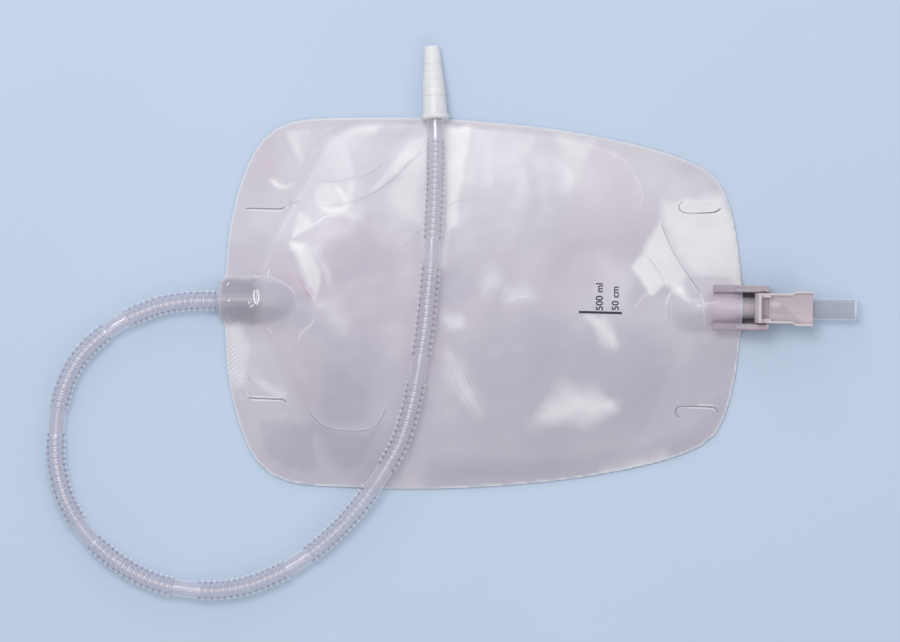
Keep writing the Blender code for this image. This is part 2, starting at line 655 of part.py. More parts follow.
def build_lever():
    """Tray, yoke, pinch bar and trunnions: one moulding, about its pivot."""
    bm = bmesh.new()
    flare_start = LEVER_REACH - GRIP_LENGTH - GRIP_FLARE
    stations = [
        (YOKE_START, LEVER_HALF_WIDTH), (flare_start, LEVER_HALF_WIDTH),
        (flare_start + GRIP_FLARE, GRIP_HALF_WIDTH), (LEVER_REACH, GRIP_HALF_WIDTH),
    ]  # fmt: skip
    skin(bm, [ring_at(x, tray_section(width), 0) for x, width in stations])
    lever = add_object(
        "tap_lever", bm, plastic("tap_lever", srgb(179, 165, 175), 0.35), (PIVOT_X, 0, PIVOT_HEIGHT)
    )

    reach = PIVOT_HEIGHT - NIPPED
    parts = {}
    bar = [
        (-BAR_BACK, -LEVER_UNDER), (-BAR_FRONT, -LEVER_UNDER), (-BAR_FRONT, LEVER_TOP),
        (-BAR_TIP_FRONT, reach - 0.4 * MM), (-BAR_TIP_FRONT - 0.4 * MM, reach),
        (-BAR_TIP_BACK + 0.4 * MM, reach), (-BAR_TIP_BACK, reach - 0.4 * MM), (-BAR_BACK, LEVER_TOP),
    ]  # fmt: skip
    parts["pinch_bar"] = [(bar, "Y", -LEVER_HALF_WIDTH, LEVER_HALF_WIDTH)]
    ear = [(-BAR_FRONT - MM, -LEVER_UNDER), (YOKE_START + MM, -LEVER_UNDER),
           (YOKE_START + MM, LEVER_TOP - 0.1 * MM), (-BAR_FRONT - MM, LEVER_TOP - 0.1 * MM)]  # fmt: skip
    inner, outer = LEVER_HALF_WIDTH - EAR_WIDTH, LEVER_HALF_WIDTH
    parts["lever_ears"] = [(ear, "Y", inner, outer), (ear, "Y", -outer, -inner)]
    web_start, web_end = -BAR_FRONT - 0.7 * MM, YOKE_START + 0.7 * MM
    web = [(web_start, -LEVER_UNDER), (web_end, -LEVER_UNDER), (web_end, WEB_THICKNESS - LEVER_UNDER),
           (web_start, WEB_THICKNESS - LEVER_UNDER)]  # fmt: skip
    parts["lever_web"] = [(web, "Y", -inner - 0.5 * MM, inner + 0.5 * MM)]
    trunnion = circle(TRUNNION_RADIUS, 16, math.tau / 32)
    outer_end = LEVER_HALF_WIDTH + TRUNNION_LENGTH
    parts["trunnions"] = [
        (trunnion, "Y", inner + 0.6 * MM, outer_end), (trunnion, "Y", -outer_end, -inner - 0.6 * MM)
    ]  # fmt: skip
    for name, prisms in parts.items():
        bm = bmesh.new()
        for outline, direction, start, end in prisms:
            prism(bm, outline, direction, start, end)
        bm.transform(Matrix.Translation((PIVOT_X, 0, PIVOT_HEIGHT)))
        combine(lever, helper(name, bm), "UNION")


def main():
    for piece in list(bpy.data.objects):
        bpy.data.objects.remove(piece, do_unlink=True)
    build_films(slot_cutter())
    build_port()
    build_valve()
    build_hose()
    build_connector()
    build_outlet_tube()
    build_frame()
    build_lever()


main()
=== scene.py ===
"""The looks of a 500 ml urine leg bag that lies flat and empty on a pale surface, seen from above.

Metres, in the part's own frame: +X runs from the inlet to the outlet, +Y across the bag, +Z up.
"""

import math

import bmesh
import bpy
import numpy as np
from mathutils import Matrix, Vector
from mathutils.bvhtree import BVHTree


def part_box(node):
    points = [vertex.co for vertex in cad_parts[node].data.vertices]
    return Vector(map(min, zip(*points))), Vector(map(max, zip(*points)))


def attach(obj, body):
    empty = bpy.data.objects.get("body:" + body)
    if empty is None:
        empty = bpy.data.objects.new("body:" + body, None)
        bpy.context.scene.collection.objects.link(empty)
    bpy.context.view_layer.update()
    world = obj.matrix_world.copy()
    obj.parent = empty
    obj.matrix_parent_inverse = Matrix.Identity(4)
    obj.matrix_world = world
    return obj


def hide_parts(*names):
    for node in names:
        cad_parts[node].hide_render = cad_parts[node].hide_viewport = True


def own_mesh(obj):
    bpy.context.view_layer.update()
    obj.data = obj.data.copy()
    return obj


MM = 0.001
GAP = 0.3 * MM

# Camera, straight above, turned as the bag lies in the photograph, and the height at which its
# picture is as wide as stated
VIEW_WIDTH = 425.7 * MM
VIEW_CENTRE = (-40.8 * MM, -8.1 * MM)
VIEW_HEIGHT = 3.0
VIEW_LEVEL = 5 * MM
VIEW_ROLL = 0.014
SENSOR = 36.0

# Films
FILM = 0.4 * MM
SEAM = FILM + GAP
GRID = 1.15 * MM
# Where the film's mesh is finer, for the glints over the port and the cuts
FINE = 0.45 * MM
FINE_COLUMNS = [(-147 * MM, -128 * MM)]
FINE_ROWS = [(-47.5 * MM, -43 * MM), (-2.5 * MM, 9 * MM), (43 * MM, 47 * MM)]
DOME_RISE = 3.4 * MM
DOME_RUN = 30 * MM
TENT_RUN = 24 * MM
COLLAR_END = -130.5 * MM
TUBE_SEAM_END = 78.3 * MM
# The port under the film: radius, axis height and how far the film's foot lies from its side
PORT_RADIUS, PORT_AXIS, PORT_FOOT = 5.35 * MM, 5.55 * MM, 1.5 * MM
TUBE_FOOT = 7 * MM
# The cuts of the strap slots as they stand open in the front sheet: x, y and half width in mm
CUTS = [
    [(-138.4, 43.9, 0.07), (-134.3, 43.8, 0.2), (-127.3, 43.8, 0.26), (-122.5, 43.7, 0.24),
     (-121.1, 44, 0.16), (-119.6, 44.9, 0.06)],
    [(-135.7, -46, 0.08), (-132.9, -46, 0.28), (-128.6, -46.1, 0.36), (-124.4, -46.3, 0.32),
     (-119.6, -46.4, 0.3), (-118.8, -46.7, 0.22), (-117.7, -47.8, 0.06)],
    [(69.1, 49.5, 0.06), (67.6, 49.2, 0.08), (66.9, 47.5, 0.1), (67.2, 46.2, 0.13), (68.5, 44.9, 0.13),
     (71.2, 44.6, 0.13), (76.1, 44.6, 0.18), (81, 44.8, 0.25), (84.1, 45.2, 0.3), (85.8, 46.1, 0.25),
     (86.6, 47.1, 0.08)],
    [(69, -52.1, 0.05), (67.9, -51.8, 0.08), (66.8, -50.8, 0.08), (66.5, -49.8, 0.1), (66.9, -48.6, 0.13),
     (67.6, -47.4, 0.14), (68.6, -46.9, 0.12), (72, -47, 0.11), (76.2, -47, 0.15), (79.8, -46.9, 0.22),
     (82.6, -47.1, 0.3), (84.5, -47.3, 0.36), (85.3, -47.7, 0.36), (86.1, -48.7, 0.28),
     (86.6, -49.6, 0.06)],
]  # fmt: skip
# Half of the welded chamber's edge, from the port round to the tube
CHAMBER = [
    (-131.5, 0), (-131.5, 8), (-130.2, 12.6), (-124.5, 29), (-112, 52), (-104.5, 66), (-97.5, 76.9),
    (-84, 83.6), (-45.3, 83.9), (4.2, 79.9), (38, 71.5), (50, 61), (56.6, 50), (61.6, 37), (71, 16),
    (76.5, 8), (78.3, 0),
]  # fmt: skip

# Print: each line's words, and its baseline's x, its start's y and its length in mm
PRINT_LINES = (("500 ml", 31.4, -2.1, 12.9), ("50 cm", 38.9, -1.9, 11.2))
PRINT_HEIGHT = 3.3 * MM
PRINT_LIFT = 0.08 * MM
BAR_ENDS = ((20.1, -3.0), (40.4, -3.2))
BAR_HALF = 0.55 * MM

# Inlet hose
HOSE_RADIUS = 4.95 * MM
CUFF_RADIUS = 3.95 * MM
VALLEY_RADIUS = 3.8 * MM
RIDGE_PITCH = 2.85 * MM
CUFF_FIRST = 43.5 * MM
CUFF_PITCH = 55.8 * MM
CUFF_LENGTH = 12.5 * MM
CUFF_SHOULDER = 1.2 * MM
CUFF_COUNT = 8
LAST_CUFF = 493.1 * MM
# The last stretch of ridges, which draw a little closer together towards its end
LAST_RIDGES = 18
LAST_CLOSING = 0.12
HOSE_ROUTE = [
    (-151.6, 0, 5.55), (-158, -0.1, 5.5), (-165, -0.4, 5.3), (-174.5, -1.9, 5.1), (-184, -4.8, 5),
    (-198, -11.6, 5), (-211.8, -23, 5), (-220.3, -35.4, 5), (-225, -50, 5), (-226.5, -64.5, 5),
    (-225.9, -79, 5), (-221, -96, 5), (-210.5, -112, 5), (-195, -125.3, 5), (-177.4, -133.8, 5),
    (-158, -137, 5), (-138.4, -135.4, 5), (-119, -127.8, 5), (-104.2, -117.9, 5), (-91.5, -106.4, 5.1),
    (-81, -94, 6.6), (-71, -79, 8.4), (-63.5, -65, 9.5), (-58.6, -48.5, 9.9), (-55.5, -31.5, 9.9),
    (-53, -14, 9.9), (-51.4, 3, 9.9), (-50.2, 19, 9.9), (-49.4, 37, 9.9), (-48.8, 54, 9.9),
    (-48.7, 68, 9.6), (-48.8, 78, 9.3), (-49.05, 86.5, 8.4),
]  # fmt: skip

# Stepped connector
CONNECTOR_BASE = Vector((-49.08, 86.9, 8.33)) * MM
CONNECTOR_AIM = Vector((-51.3, 122.0, 3.75)) * MM
CONNECTOR_BORE = 2.5

# Outlet tube
TUBE_RADIUS = 5.05 * MM
TUBE_WALL = 1.1 * MM
TUBE_AXIS = 6.15 * MM
TUBE_DROOP = (114.9 * MM, 147.1 * MM)
NIP = (98.2 * MM, 110.9 * MM)
# How flat each slice of the tube under the pinch bar is pressed, from the first to the last
NIP_KEEPS = (0.88, 0.7, 0.5, 0.34, 0.24, 0.2, 0.2)

# Tap
RAIL_WIDTH = 3.45 * MM
# How far below the rails' top their bands of light and shade begin and are whole
BAND_DEPTH = (4.4 * MM, 3.4 * MM)
# The painted highlight spot on the lever's floor and the slanted line, x + slant y, past which a painted
# highlight makes the floor paler
SPOT = (112.6 * MM, 1.9 * MM)
SPOT_OVAL = 0.62
SLANT = 1.2
PALE_LINE = (117 * MM, 119.6 * MM)
# Heights between which the lever's floor, its walls and its rims begin
FLOOR_LEVEL = (12.2 * MM, 12.5 * MM)
WALL_LEVEL = (13.3 * MM, 13.5 * MM)
RIM_LEVEL = (14.1 * MM, 14.35 * MM)


# Small helpers


def srgb(red, green, blue):
    """A colour written as 0 to 255 in sRGB, as linear values."""
    return (*[
        part / 12.92 if part <= 0.04045 else ((part + 0.055) / 1.055) ** 2.4
        for part in (red / 255, green / 255, blue / 255)
    ], 1.0)  # fmt: skip


def smooth_curve(points, count):
    """A Catmull-Rom curve through the points, with count steps on each span."""
    points = [Vector(point) for point in points]
    ends = [2 * points[0] - points[1], *points, 2 * points[-1] - points[-2]]
    curve = []
    for before, start, end, after in zip(ends, ends[1:], ends[2:], ends[3:]):
        for step in range(count):
            t = step / count
            curve.append(0.5 * (
                2 * start + (end - before) * t + (2 * before - 5 * start + 4 * end - after) * t * t
                + (3 * start - before - 3 * end + after) * t**3
            ))  # fmt: skip
    return [*curve, points[-1]]


def smoothstep(value):
    value = np.clip(value, 0.0, 1.0)
    return value * value * (3 - 2 * value)


def curve_through(line, count):
    """Points in metres on a smooth curve through flat points in mm."""
    return [(p.x * MM, p.y * MM) for p in smooth_curve([(*point, 0) for point in line], count)]


def add_object(name, data):
    made = bpy.data.objects.new(name, data)
    bpy.context.scene.collection.objects.link(made)
    return made


def set_attribute(piece, name, values):
    layer = piece.data.attributes.new(name, "FLOAT", "POINT")
    layer.data.foreach_set("value", values.astype(np.float32))


def make_piece(name, vertices, faces, material, smooth_angle=40):
    mesh = bpy.data.meshes.new(name)
    mesh.from_pydata([tuple(v) for v in vertices], [], faces)
    mesh.validate()
    piece = add_object(name, mesh)
    mesh.materials.append(material)
    mesh.shade_smooth()
    mesh.set_sharp_from_angle(angle=math.radians(smooth_angle))
    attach(piece, "bag")
    return piece


def wall_faces(rings, count, closed_loop):
    """Quads between rings of count points each."""
    faces = []
    for i in range(rings if closed_loop else rings - 1):
        first, second = i * count, (i + 1) % rings * count
        for j in range(count):
            k = (j + 1) % count
            faces.append((first + j, first + k, second + k, second + j))
    return faces


def circle(count):
    angles = np.arange(count) * (math.tau / count)
    return np.cos(angles), np.sin(angles)


def apply_modifiers(piece):
    graph = bpy.context.evaluated_depsgraph_get()
    mesh = bpy.data.meshes.new_from_object(piece.evaluated_get(graph))
    piece.modifiers.clear()
    old = piece.data
    piece.data = mesh
    bpy.data.meshes.remove(old)


def round_edges(piece, width):
    bevel = piece.modifiers.new("rounded", "BEVEL")
    bevel.width = width
    bevel.segments = 3
    bevel.limit_method = "ANGLE"
    bevel.angle_limit = math.radians(35)
    bevel.harden_normals = True


# Materials


class Surface:
    """A Principled material and short ways to add nodes to it."""

    def __init__(self, name, **values):
        self.material = bpy.data.materials.new(name)
        self.material.use_nodes = True
        self.tree = self.material.node_tree
        self.shader = self.tree.nodes["Principled BSDF"]
        for socket, value in values.items():
            self.shader.inputs[socket.replace("_", " ")].default_value = value
        self.place = self.node("ShaderNodeTexCoord").outputs["Object"]

    def node(self, kind, **settings):
        made = self.tree.nodes.new(kind)
        for name, value in settings.items():
            setattr(made, name, value)
        return made

    def link(self, source, target):
        self.tree.links.new(source, target)

    def noise(self, scale, detail=3):
        texture = self.node("ShaderNodeTexNoise")
        texture.inputs["Scale"].default_value = scale
        texture.inputs["Detail"].default_value = detail
        self.link(self.place, texture.inputs["Vector"])
        return texture.outputs["Fac"]

    def ranged(self, source, low, high, from_low=0.3, from_high=0.7, steps="SMOOTHSTEP"):
        ranged = self.node("ShaderNodeMapRange", interpolation_type=steps)
        for socket, value in (
            ("From Min", from_low), ("From Max", from_high), ("To Min", low), ("To Max", high)
        ):  # fmt: skip
            ranged.inputs[socket].default_value = value
        self.link(source, ranged.inputs["Value"])
        return ranged.outputs["Result"]

    def mix(self, share, first, second):
        """A mix of two colours, each a value or a socket."""
        mix = self.node("ShaderNodeMix", data_type="RGBA")
        self.link(share, mix.inputs[0])
        for target, colour in ((mix.inputs[6], first), (mix.inputs[7], second)):
            if isinstance(colour, tuple):
                target.default_value = colour
            else:
                self.link(colour, target)
        return mix.outputs[2]

    def ramp(self, source, stops):
        """Colours along a value from 0 to 1, from pairs of place and colour."""
        ramp = self.node("ShaderNodeValToRGB")
        elements = ramp.color_ramp.elements
        while len(elements) < len(stops):
            elements.new(0.5)
        for element, (place, colour) in zip(elements, stops):
            element.position, element.color = place, colour
        self.link(source, ramp.inputs["Fac"])
        return ramp.outputs["Color"]

    def axes(self):
        split = self.node("ShaderNodeSeparateXYZ")
        self.link(self.place, split.inputs["Vector"])
        return split.outputs

    def attribute(self, name):
        return self.node("ShaderNodeAttribute", attribute_name=name).outputs["Fac"]

    def math(self, operation, first, second=0):
        node = self.node("ShaderNodeMath", operation=operation)
        for target, value in zip(node.inputs, (first, second)):
            if isinstance(value, (int, float)):
                target.default_value = value
            else:
                self.link(value, target)
        return node.outputs[0]

    def times(self, first, second):
        return self.math("MULTIPLY", first, second)

    def plus(self, first, second):
        return self.math("ADD", first, second)

    def most(self, first, second):
        return self.math("MAXIMUM", first, second)

    def size(self, value):
        return self.math("ABSOLUTE", value)

    def bump(self, height, distance):
        bump = self.node("ShaderNodeBump")
        bump.inputs["Distance"].default_value = distance
        self.link(height, bump.inputs["Height"])
        return bump.outputs["Normal"]

    def clouds(self, scale, detail, first, second):
        """Two colours in soft clouds."""
        return self.mix(self.ranged(self.noise(scale, detail), 0, 1), first, second)

    def feed(self, socket, source):
        self.link(source, self.shader.inputs[socket])

    def gloss(self, scale, low, high):
        """Sets a roughness that varies a little between two values."""
        self.feed("Roughness", self.ranged(self.noise(scale), low, high))


def film_material():
    """Milky film: cloudy with painted reflections where the sheets stand apart, greyer where they touch,
    painted shade where it lies in its own shade, clear over the port.
    """
    surface = Surface("milky_film", IOR=1.5)
    body = surface.clouds(26, 4, srgb(212, 206, 217), srgb(202, 196, 209))
    rosy = surface.mix(surface.attribute("pink"), body, srgb(212, 193, 208))
    # Greyer where the film lies on the sheet below, and painted shade where it lies in its own shade
    grey = surface.mix(surface.attribute("deep"), rosy, srgb(180, 177, 191))
    cloudy = surface.ranged(surface.noise(70), 0.8, 1)
    # Milky white where the film stands off the sheet below, with painted reflections and a broad painted
    # sheen in the same patches
    milky_and_sheen = surface.mix(surface.times(surface.attribute("bright"), cloudy), grey, srgb(248, 247, 249))
    wave = surface.math("SINE", surface.times(surface.attribute("phase"), math.tau))
    ribs = surface.times(wave, surface.attribute("hatch"))
    ribbed = surface.mix(surface.ranged(ribs, 0, 0.8, 0, 2), milky_and_sheen, srgb(236, 234, 240))
    patchy, side = surface.ranged(surface.noise(120), 0.5, 1), surface.attribute("side")
    near = surface.times(surface.attribute("near"), patchy)
    # Along each crease: a thin line of painted shade, and beside it a line of painted highlight
    crease_shade = surface.ranged(surface.size(side), 1, 0, 0.08, 0.38)
    light = surface.ranged(surface.size(surface.math("SUBTRACT", side, 0.8)), 0.45, 0, 0.1, 0.5)
    crease_shaded = surface.mix(surface.times(crease_shade, near), ribbed, srgb(150, 146, 162))
    lit = surface.mix(surface.times(light, near), crease_shaded, srgb(246, 245, 248))
    narrow = surface.ranged(surface.size(surface.attribute("glint_side")), 1, 0, 0.15, 0.5)
    glint = surface.times(narrow, surface.attribute("glint"))
    bright_line = surface.mix(glint, lit, srgb(250, 249, 252))
    # A painted highlight along the film's cut edge
    surface.feed("Base Color", surface.mix(surface.attribute("rim"), bright_line, srgb(232, 236, 242)))
    alpha = surface.ranged(surface.attribute("clear"), 0.9, 0.3, 0, 1)
    surface.feed("Alpha", surface.most(alpha, glint))
    surface.gloss(60, 0.2, 0.3)
    grain = surface.times(surface.noise(520), 0.25)
    surface.feed("Normal", surface.bump(surface.plus(ribs, grain), 0.035 * MM))
    return surface.material


def sheet_material():
    """The rear sheet, plain and slightly cloudy."""
    surface = Surface("rear_sheet", IOR=1.5)
    surface.feed("Base Color", surface.clouds(26, 4, srgb(212, 207, 217), srgb(202, 197, 209)))
    surface.gloss(60, 0.25, 0.35)
    surface.feed("Normal", surface.bump(surface.noise(500), 0.04 * MM))
    return surface.material


def moulded(name, colour, deep, roughness, speckle=0.04, rounding=0.0):
    """Smooth moulded plastic: slight cloudiness, a soft variation in gloss and a fine grain."""
    surface = Surface(name)
    surface.feed("Base Color", surface.clouds(90, 4, colour, deep))
    surface.gloss(260, roughness - 0.06, roughness + 0.06)
    grain = surface.bump(surface.noise(1400, 4), speckle * MM)
    if rounding:
        rounded = surface.node("ShaderNodeBevel", samples=8)
        rounded.inputs["Radius"].default_value = rounding
        surface.link(rounded.outputs["Normal"], grain.node.inputs["Normal"])
    surface.feed("Normal", grain)
    return surface


def frame_material():
    """The tap frame's plastic: each rail's rounded top is pale on one side and dark along the other, as
    painted highlight and painted shade.
    """
    surface = moulded("tap_plastic", srgb(176, 165, 176), srgb(166, 155, 166), 0.24, 0.01, 0.9 * MM)
    _, y, z = surface.axes()
    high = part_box("tap_frame")[1]
    inner, outer = high[1] - RAIL_WIDTH, high[1]
    upper = surface.ranged(y, 0, 0.5, inner, outer, "LINEAR")
    lower = surface.ranged(y, 0, 0.5, -outer, -inner, "LINEAR")
    # Painted light and shade across each rail's top: pale bands are painted highlights, dark ones painted
    # shade
    band = surface.ramp(surface.plus(upper, lower), [
        (0, srgb(126, 114, 126)), (0.04, srgb(140, 129, 140)), (0.12, srgb(172, 161, 171)),
        (0.24, srgb(204, 192, 200)), (0.36, srgb(190, 178, 187)), (0.45, srgb(160, 148, 159)),
        (0.52, srgb(134, 122, 134)), (0.6, srgb(200, 190, 197)), (0.72, srgb(190, 180, 188)),
        (0.84, srgb(166, 156, 165)), (0.92, srgb(174, 164, 172)), (0.97, srgb(214, 208, 214)),
    ])  # fmt: skip
    cover = surface.ranged(z, 0, 0.5, *(high[2] - depth for depth in BAND_DEPTH))
    plain = surface.shader.inputs["Base Color"].links[0].from_socket
    surface.feed("Base Color", surface.mix(cover, plain, band))
    return surface.material


def lever_material():
    """The lever's plastic: pale rims, a soft bright spot and a paler slant on the floor as painted
    highlights, and a darker line of painted shade inside the rims.
    """
    surface = moulded("lever_plastic", srgb(190, 177, 186), srgb(181, 168, 178), 0.22, 0.01, 0.5 * MM)
    x, y, z = surface.axes()
    plain = surface.shader.inputs["Base Color"].links[0].from_socket
    along = surface.times(surface.math("SUBTRACT", x, SPOT[0]), SPOT_OVAL)
    across = surface.math("SUBTRACT", y, SPOT[1])
    squares = [surface.math("POWER", value, 2) for value in (along, across)]
    apart = surface.math("SQRT", surface.plus(*squares))
    upper = surface.ranged(z, 0, 1, *FLOOR_LEVEL)
    # Painted highlights on the floor: a soft spot and a paler slant
    spot_highlight = surface.times(upper, surface.ranged(apart, 0.8, 0, 0.8 * MM, 2.5 * MM))
    spot_highlighted = surface.mix(spot_highlight, plain, srgb(216, 206, 212))
    slanted = surface.plus(x, surface.times(y, SLANT))
    slope = surface.times(upper, surface.ranged(slanted, 0, 0.6, *PALE_LINE))
    paler = surface.mix(slope, spot_highlighted, srgb(206, 194, 201))
    # Painted shade on the walls inside the rims, and a painted highlight on the rims
    wall_shade = surface.mix(surface.ranged(z, 0, 0.8, *WALL_LEVEL), paler, srgb(156, 143, 153))
    rim = surface.ranged(z, 0, 1, *RIM_LEVEL)
    surface.feed("Base Color", surface.mix(rim, wall_shade, srgb(216, 206, 212)))
    return surface.material


def port_material():
    """The port's clear plastic: nearly clear where it faces the eye, denser at its sides and lighter there
    as a painted sheen.
    """
    surface = Surface("port_plastic", IOR=1.7)
    weight = surface.node("ShaderNodeLayerWeight")
    weight.inputs["Blend"].default_value = 0.35
    facing = weight.outputs["Facing"]
    # A painted sheen: the colour turns lighter where the surface turns away from the eye
    edge = surface.ranged(facing, 0, 1, 0.2, 0.8)
    surface.feed("Base Color", surface.mix(edge, srgb(218, 214, 228), srgb(238, 238, 246)))
    surface.feed("Alpha", surface.ranged(facing, 0.35, 0.75, 0.15, 0.85))
    surface.gloss(300, 0.12, 0.15)
    surface.feed("Normal", surface.bump(surface.noise(900), 0.004 * MM))
    return surface.material


def tube_material(name, colour, alpha):
    """See-through soft tube: denser along its sides and at its cut end, and lighter there as a painted
    highlight.
    """
    surface = Surface(name, IOR=1.7)
    x, y, _ = surface.axes()
    # Painted highlight along the tube's sides and round its cut end
    side = surface.ranged(surface.size(y), 0, 1, TUBE_RADIUS - 0.55 * MM, TUBE_RADIUS - 0.25 * MM)
    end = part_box("outlet_tube")[1][0]
    edge = surface.most(side, surface.ranged(x, 0, 0.65, end - 0.7 * MM, end - 0.5 * MM))
    surface.feed("Base Color", surface.mix(edge, colour, srgb(242, 244, 250)))
    surface.feed("Alpha", surface.ranged(edge, alpha, 0.85))
    surface.gloss(300, 0.1, 0.13)
    return surface.material


def hose_material():
    """Clear hose: darker and see-through over its ridges, with painted highlights on its sides and across
    its valleys and painted shade in the pits at the valleys' sides.
    """
    surface = Surface("hose_plastic", IOR=2.0)
    ridge, flank = surface.attribute("ridge"), surface.attribute("flank")
    body = surface.clouds(260, 3, srgb(222, 217, 231), srgb(212, 206, 222))
    # Painted highlight: a paler line across each valley
    valley_highlight = surface.times(surface.ranged(ridge, 1, 0, 0, 0.35), surface.ranged(flank, 1, 0, 0.5, 0.8))
    paler = surface.mix(valley_highlight, body, srgb(244, 243, 249))
    # Painted shade in the pits at each valley's sides
    pit_shade = surface.times(surface.ranged(ridge, 1, 0, 0.12, 0.4), surface.ranged(flank, 0, 1, 0.76, 0.9))
    pit_shaded = surface.mix(pit_shade, paler, srgb(126, 119, 139))
    # Painted highlight along the hose's sides over its ridges
    side = surface.times(surface.ranged(ridge, 0, 1, 0.3, 0.6), surface.ranged(flank, 0, 1, 0.82, 0.93))
    surface.feed("Base Color", surface.mix(side, pit_shaded, srgb(252, 253, 255)))
    crown = surface.ranged(flank, 0.68, 0.3, 0.1, 0.24)
    shade_and_highlight = surface.most(surface.times(pit_shade, 0.8), surface.times(side, 0.9))
    surface.feed("Alpha", surface.most(shade_and_highlight, crown))
    surface.gloss(300, 0.1, 0.16)
    surface.feed("Normal", surface.bump(surface.noise(800), 0.004 * MM))
    return surface.material


# Films


def plan_outline(node):
    """The closed outline of a flat node's underside, seen from above."""
    bm = bmesh.new()
    bm.from_mesh(node.data)
    bmesh.ops.remove_doubles(bm, verts=bm.verts, dist=0.005 * MM)
    low = min(v.co.z for v in bm.verts)
    rim = [
        e for e in bm.edges
        if all(v.co.z < low + 0.01 * MM for v in e.verts)
        and any(abs(f.normal.z) < 0.5 for f in e.link_faces)
    ]  # fmt: skip
    near = {}
    for edge in rim:
        for vertex in edge.verts:
            near.setdefault(vertex.index, []).append(edge.other_vert(vertex).index)
    places = {v.index: (v.co.x, v.co.y) for v in bm.verts}
    bm.free()
    loops, left = [], set(near)
    while left:
        start = min(left)
        loop, before, here = [start], None, start
        while True:
            onward = [k for k in near[here] if k != before and (k in left or k == start)]
            if not onward or (onward[0] == start and len(loop) > 2):
                break
            before, here = here, onward[0]
            loop.append(here)
            left.discard(here)
        left.discard(start)
        loops.append(loop)
    return [places[index] for index in max(loops, key=len)]


def distance_to(line, x, y, closed=False):
    """Distance from each place to a line of points, and how far along it the nearest one lies."""
    points = np.array(line)
    ends = np.roll(points, -1, axis=0) if closed else points[1:]
    starts = points if closed else points[:-1]
    best = np.full(x.shape, 1e9)
    along = np.zeros(x.shape)
    lengths = np.hypot(*(ends - starts).T)
    passed = np.concatenate([[0], np.cumsum(lengths)])
    for start, step, length, before in zip(starts, ends - starts, lengths, passed):
        from_x, from_y = x - start[0], y - start[1]
        share = np.clip((from_x * step[0] + from_y * step[1]) / length**2, 0, 1)
        apart = np.hypot(from_x - share * step[0], from_y - share * step[1])
        closer = apart < best
        best = np.where(closer, apart, best)
        along = np.where(closer, before + share * length, along)
    return best, along / passed[-1]


def is_inside(line, x, y):
    inside = np.zeros(x.shape, bool)
    for (ax, ay), (bx, by) in zip(line, line[1:] + line[:1]):
        if ay != by:
            crosses = (ay > y) != (by > y)
            inside ^= crosses & (x < (bx - ax) * (y - ay) / (by - ay) + ax)
    return inside


def drape(across, radius, axis, foot):
    """Height of a film laid over a tube on a flat surface: round the top, then straight to its foot."""
    across = np.abs(across)
    reach = math.hypot(foot, axis - SEAM)
    slope = math.atan2(axis - SEAM, foot) + math.asin(radius / reach)
    flank = SEAM + (foot - across) * math.tan(slope)
    crown = axis + np.sqrt(np.maximum(radius**2 - across**2, 0))
    return np.where(across >= foot, SEAM, np.where(across > radius * math.sin(slope), flank, crown))


def soft_noise(x, y, size, seed):
    """Smooth waves from -1 to 1 of about the given size, the same on each run."""
    rng = np.random.default_rng(seed)
    total = np.zeros(x.shape)
    for _ in range(9):
        heading, phase = rng.uniform(0, math.tau, 2)
        wave = math.tau / (size * rng.uniform(0.7, 1.6))
        total += np.sin(wave * (x * math.cos(heading) + y * math.sin(heading)) + phase)
    return total / 4.5


# Where the film lies calmer: middle, radius and run in mm, and the share of the waves that is left
CALM = [(95, 0, 14, 20, 0), (-140, 0, 14, 14, 0), (30, 4, 10, 14, 0.25)]
# Waves in the puffed film: height and size in mm, and seed
WAVES = [(0.45, 70, 3), (0.2, 30, 8), (0.05, 11, 5)]
# Soft folds in the film: height, half width and the line that each follows, all in mm
FOLDS = [
    (0.7, 3.0, [(-121.1, -17.8), (-116, -30), (-105.1, -46.9)]),
    (0.6, 3.5, [(-42.1, -19.0), (-38.5, -41), (-27, -51.5)]),
    (0.9, 2.2, [(30.5, 74), (41, 68.5), (47.5, 59), (49.5, 52), (48, 46.5)]),
    (0.9, 2.6, [(-116.5, 28), (-110, 16), (-104.8, 1.8)]),
    (0.5, 4.0, [(-13.5, 74), (-7, 62), (-4, 40)]),
    (0.5, 4.0, [(9, 78), (15, 62), (18, 45)]),
]  # fmt: skip

# Sharp creases, thin dark lines of painted shade with a light one of painted highlight beside them, on the
# left of the way they run:
# strength, the share of the line over which it fades in, and the line itself in mm
CREASES = [
    (0.42, 0.65, [(-120.1, 45.2), (-102.1, 45.4), (-85.6, 48.5), (-71.0, 56.7), (-53.8, 74.5)]),
    (0.32, 0.2, [(-107.4, 56), (-102.5, 57.3), (-96.3, 57.2), (-90.1, 58.6), (-83.1, 59.8), (-76.9, 63.2),
     (-72.1, 67.1)]),
    (0.35, 0.15, [(-43.0, 45.8), (-38, 48.6), (-32.6, 49.7)]),
    (0.35, 0.15, [(-64.0, 25.6), (-59, 31), (-54.2, 35.7)]),
    (0.6, 0.2, [(-110.6, -45.3), (-106.4, -52.5), (-100.5, -58.3), (-93.2, -60.5), (-80.5, -60.5),
     (-74.2, -57.1), (-69.4, -47.5)]),
    (0.3, 0.3, [(-25.5, -48.5), (-36, -28), (-41, -21)]),
    (0.3, 0.3, [(-41, -24), (-38, -36), (-28, -51)]),
    (0.7, 0.1, [(78.2, 6.0), (71.0, 16.1), (64, 27), (57.9, 41.0)]),
    (0.4, 0.15, [(50.5, 25.8), (59.2, 14.1), (62.7, -1.0), (61.9, -10.5)]),
]  # fmt: skip
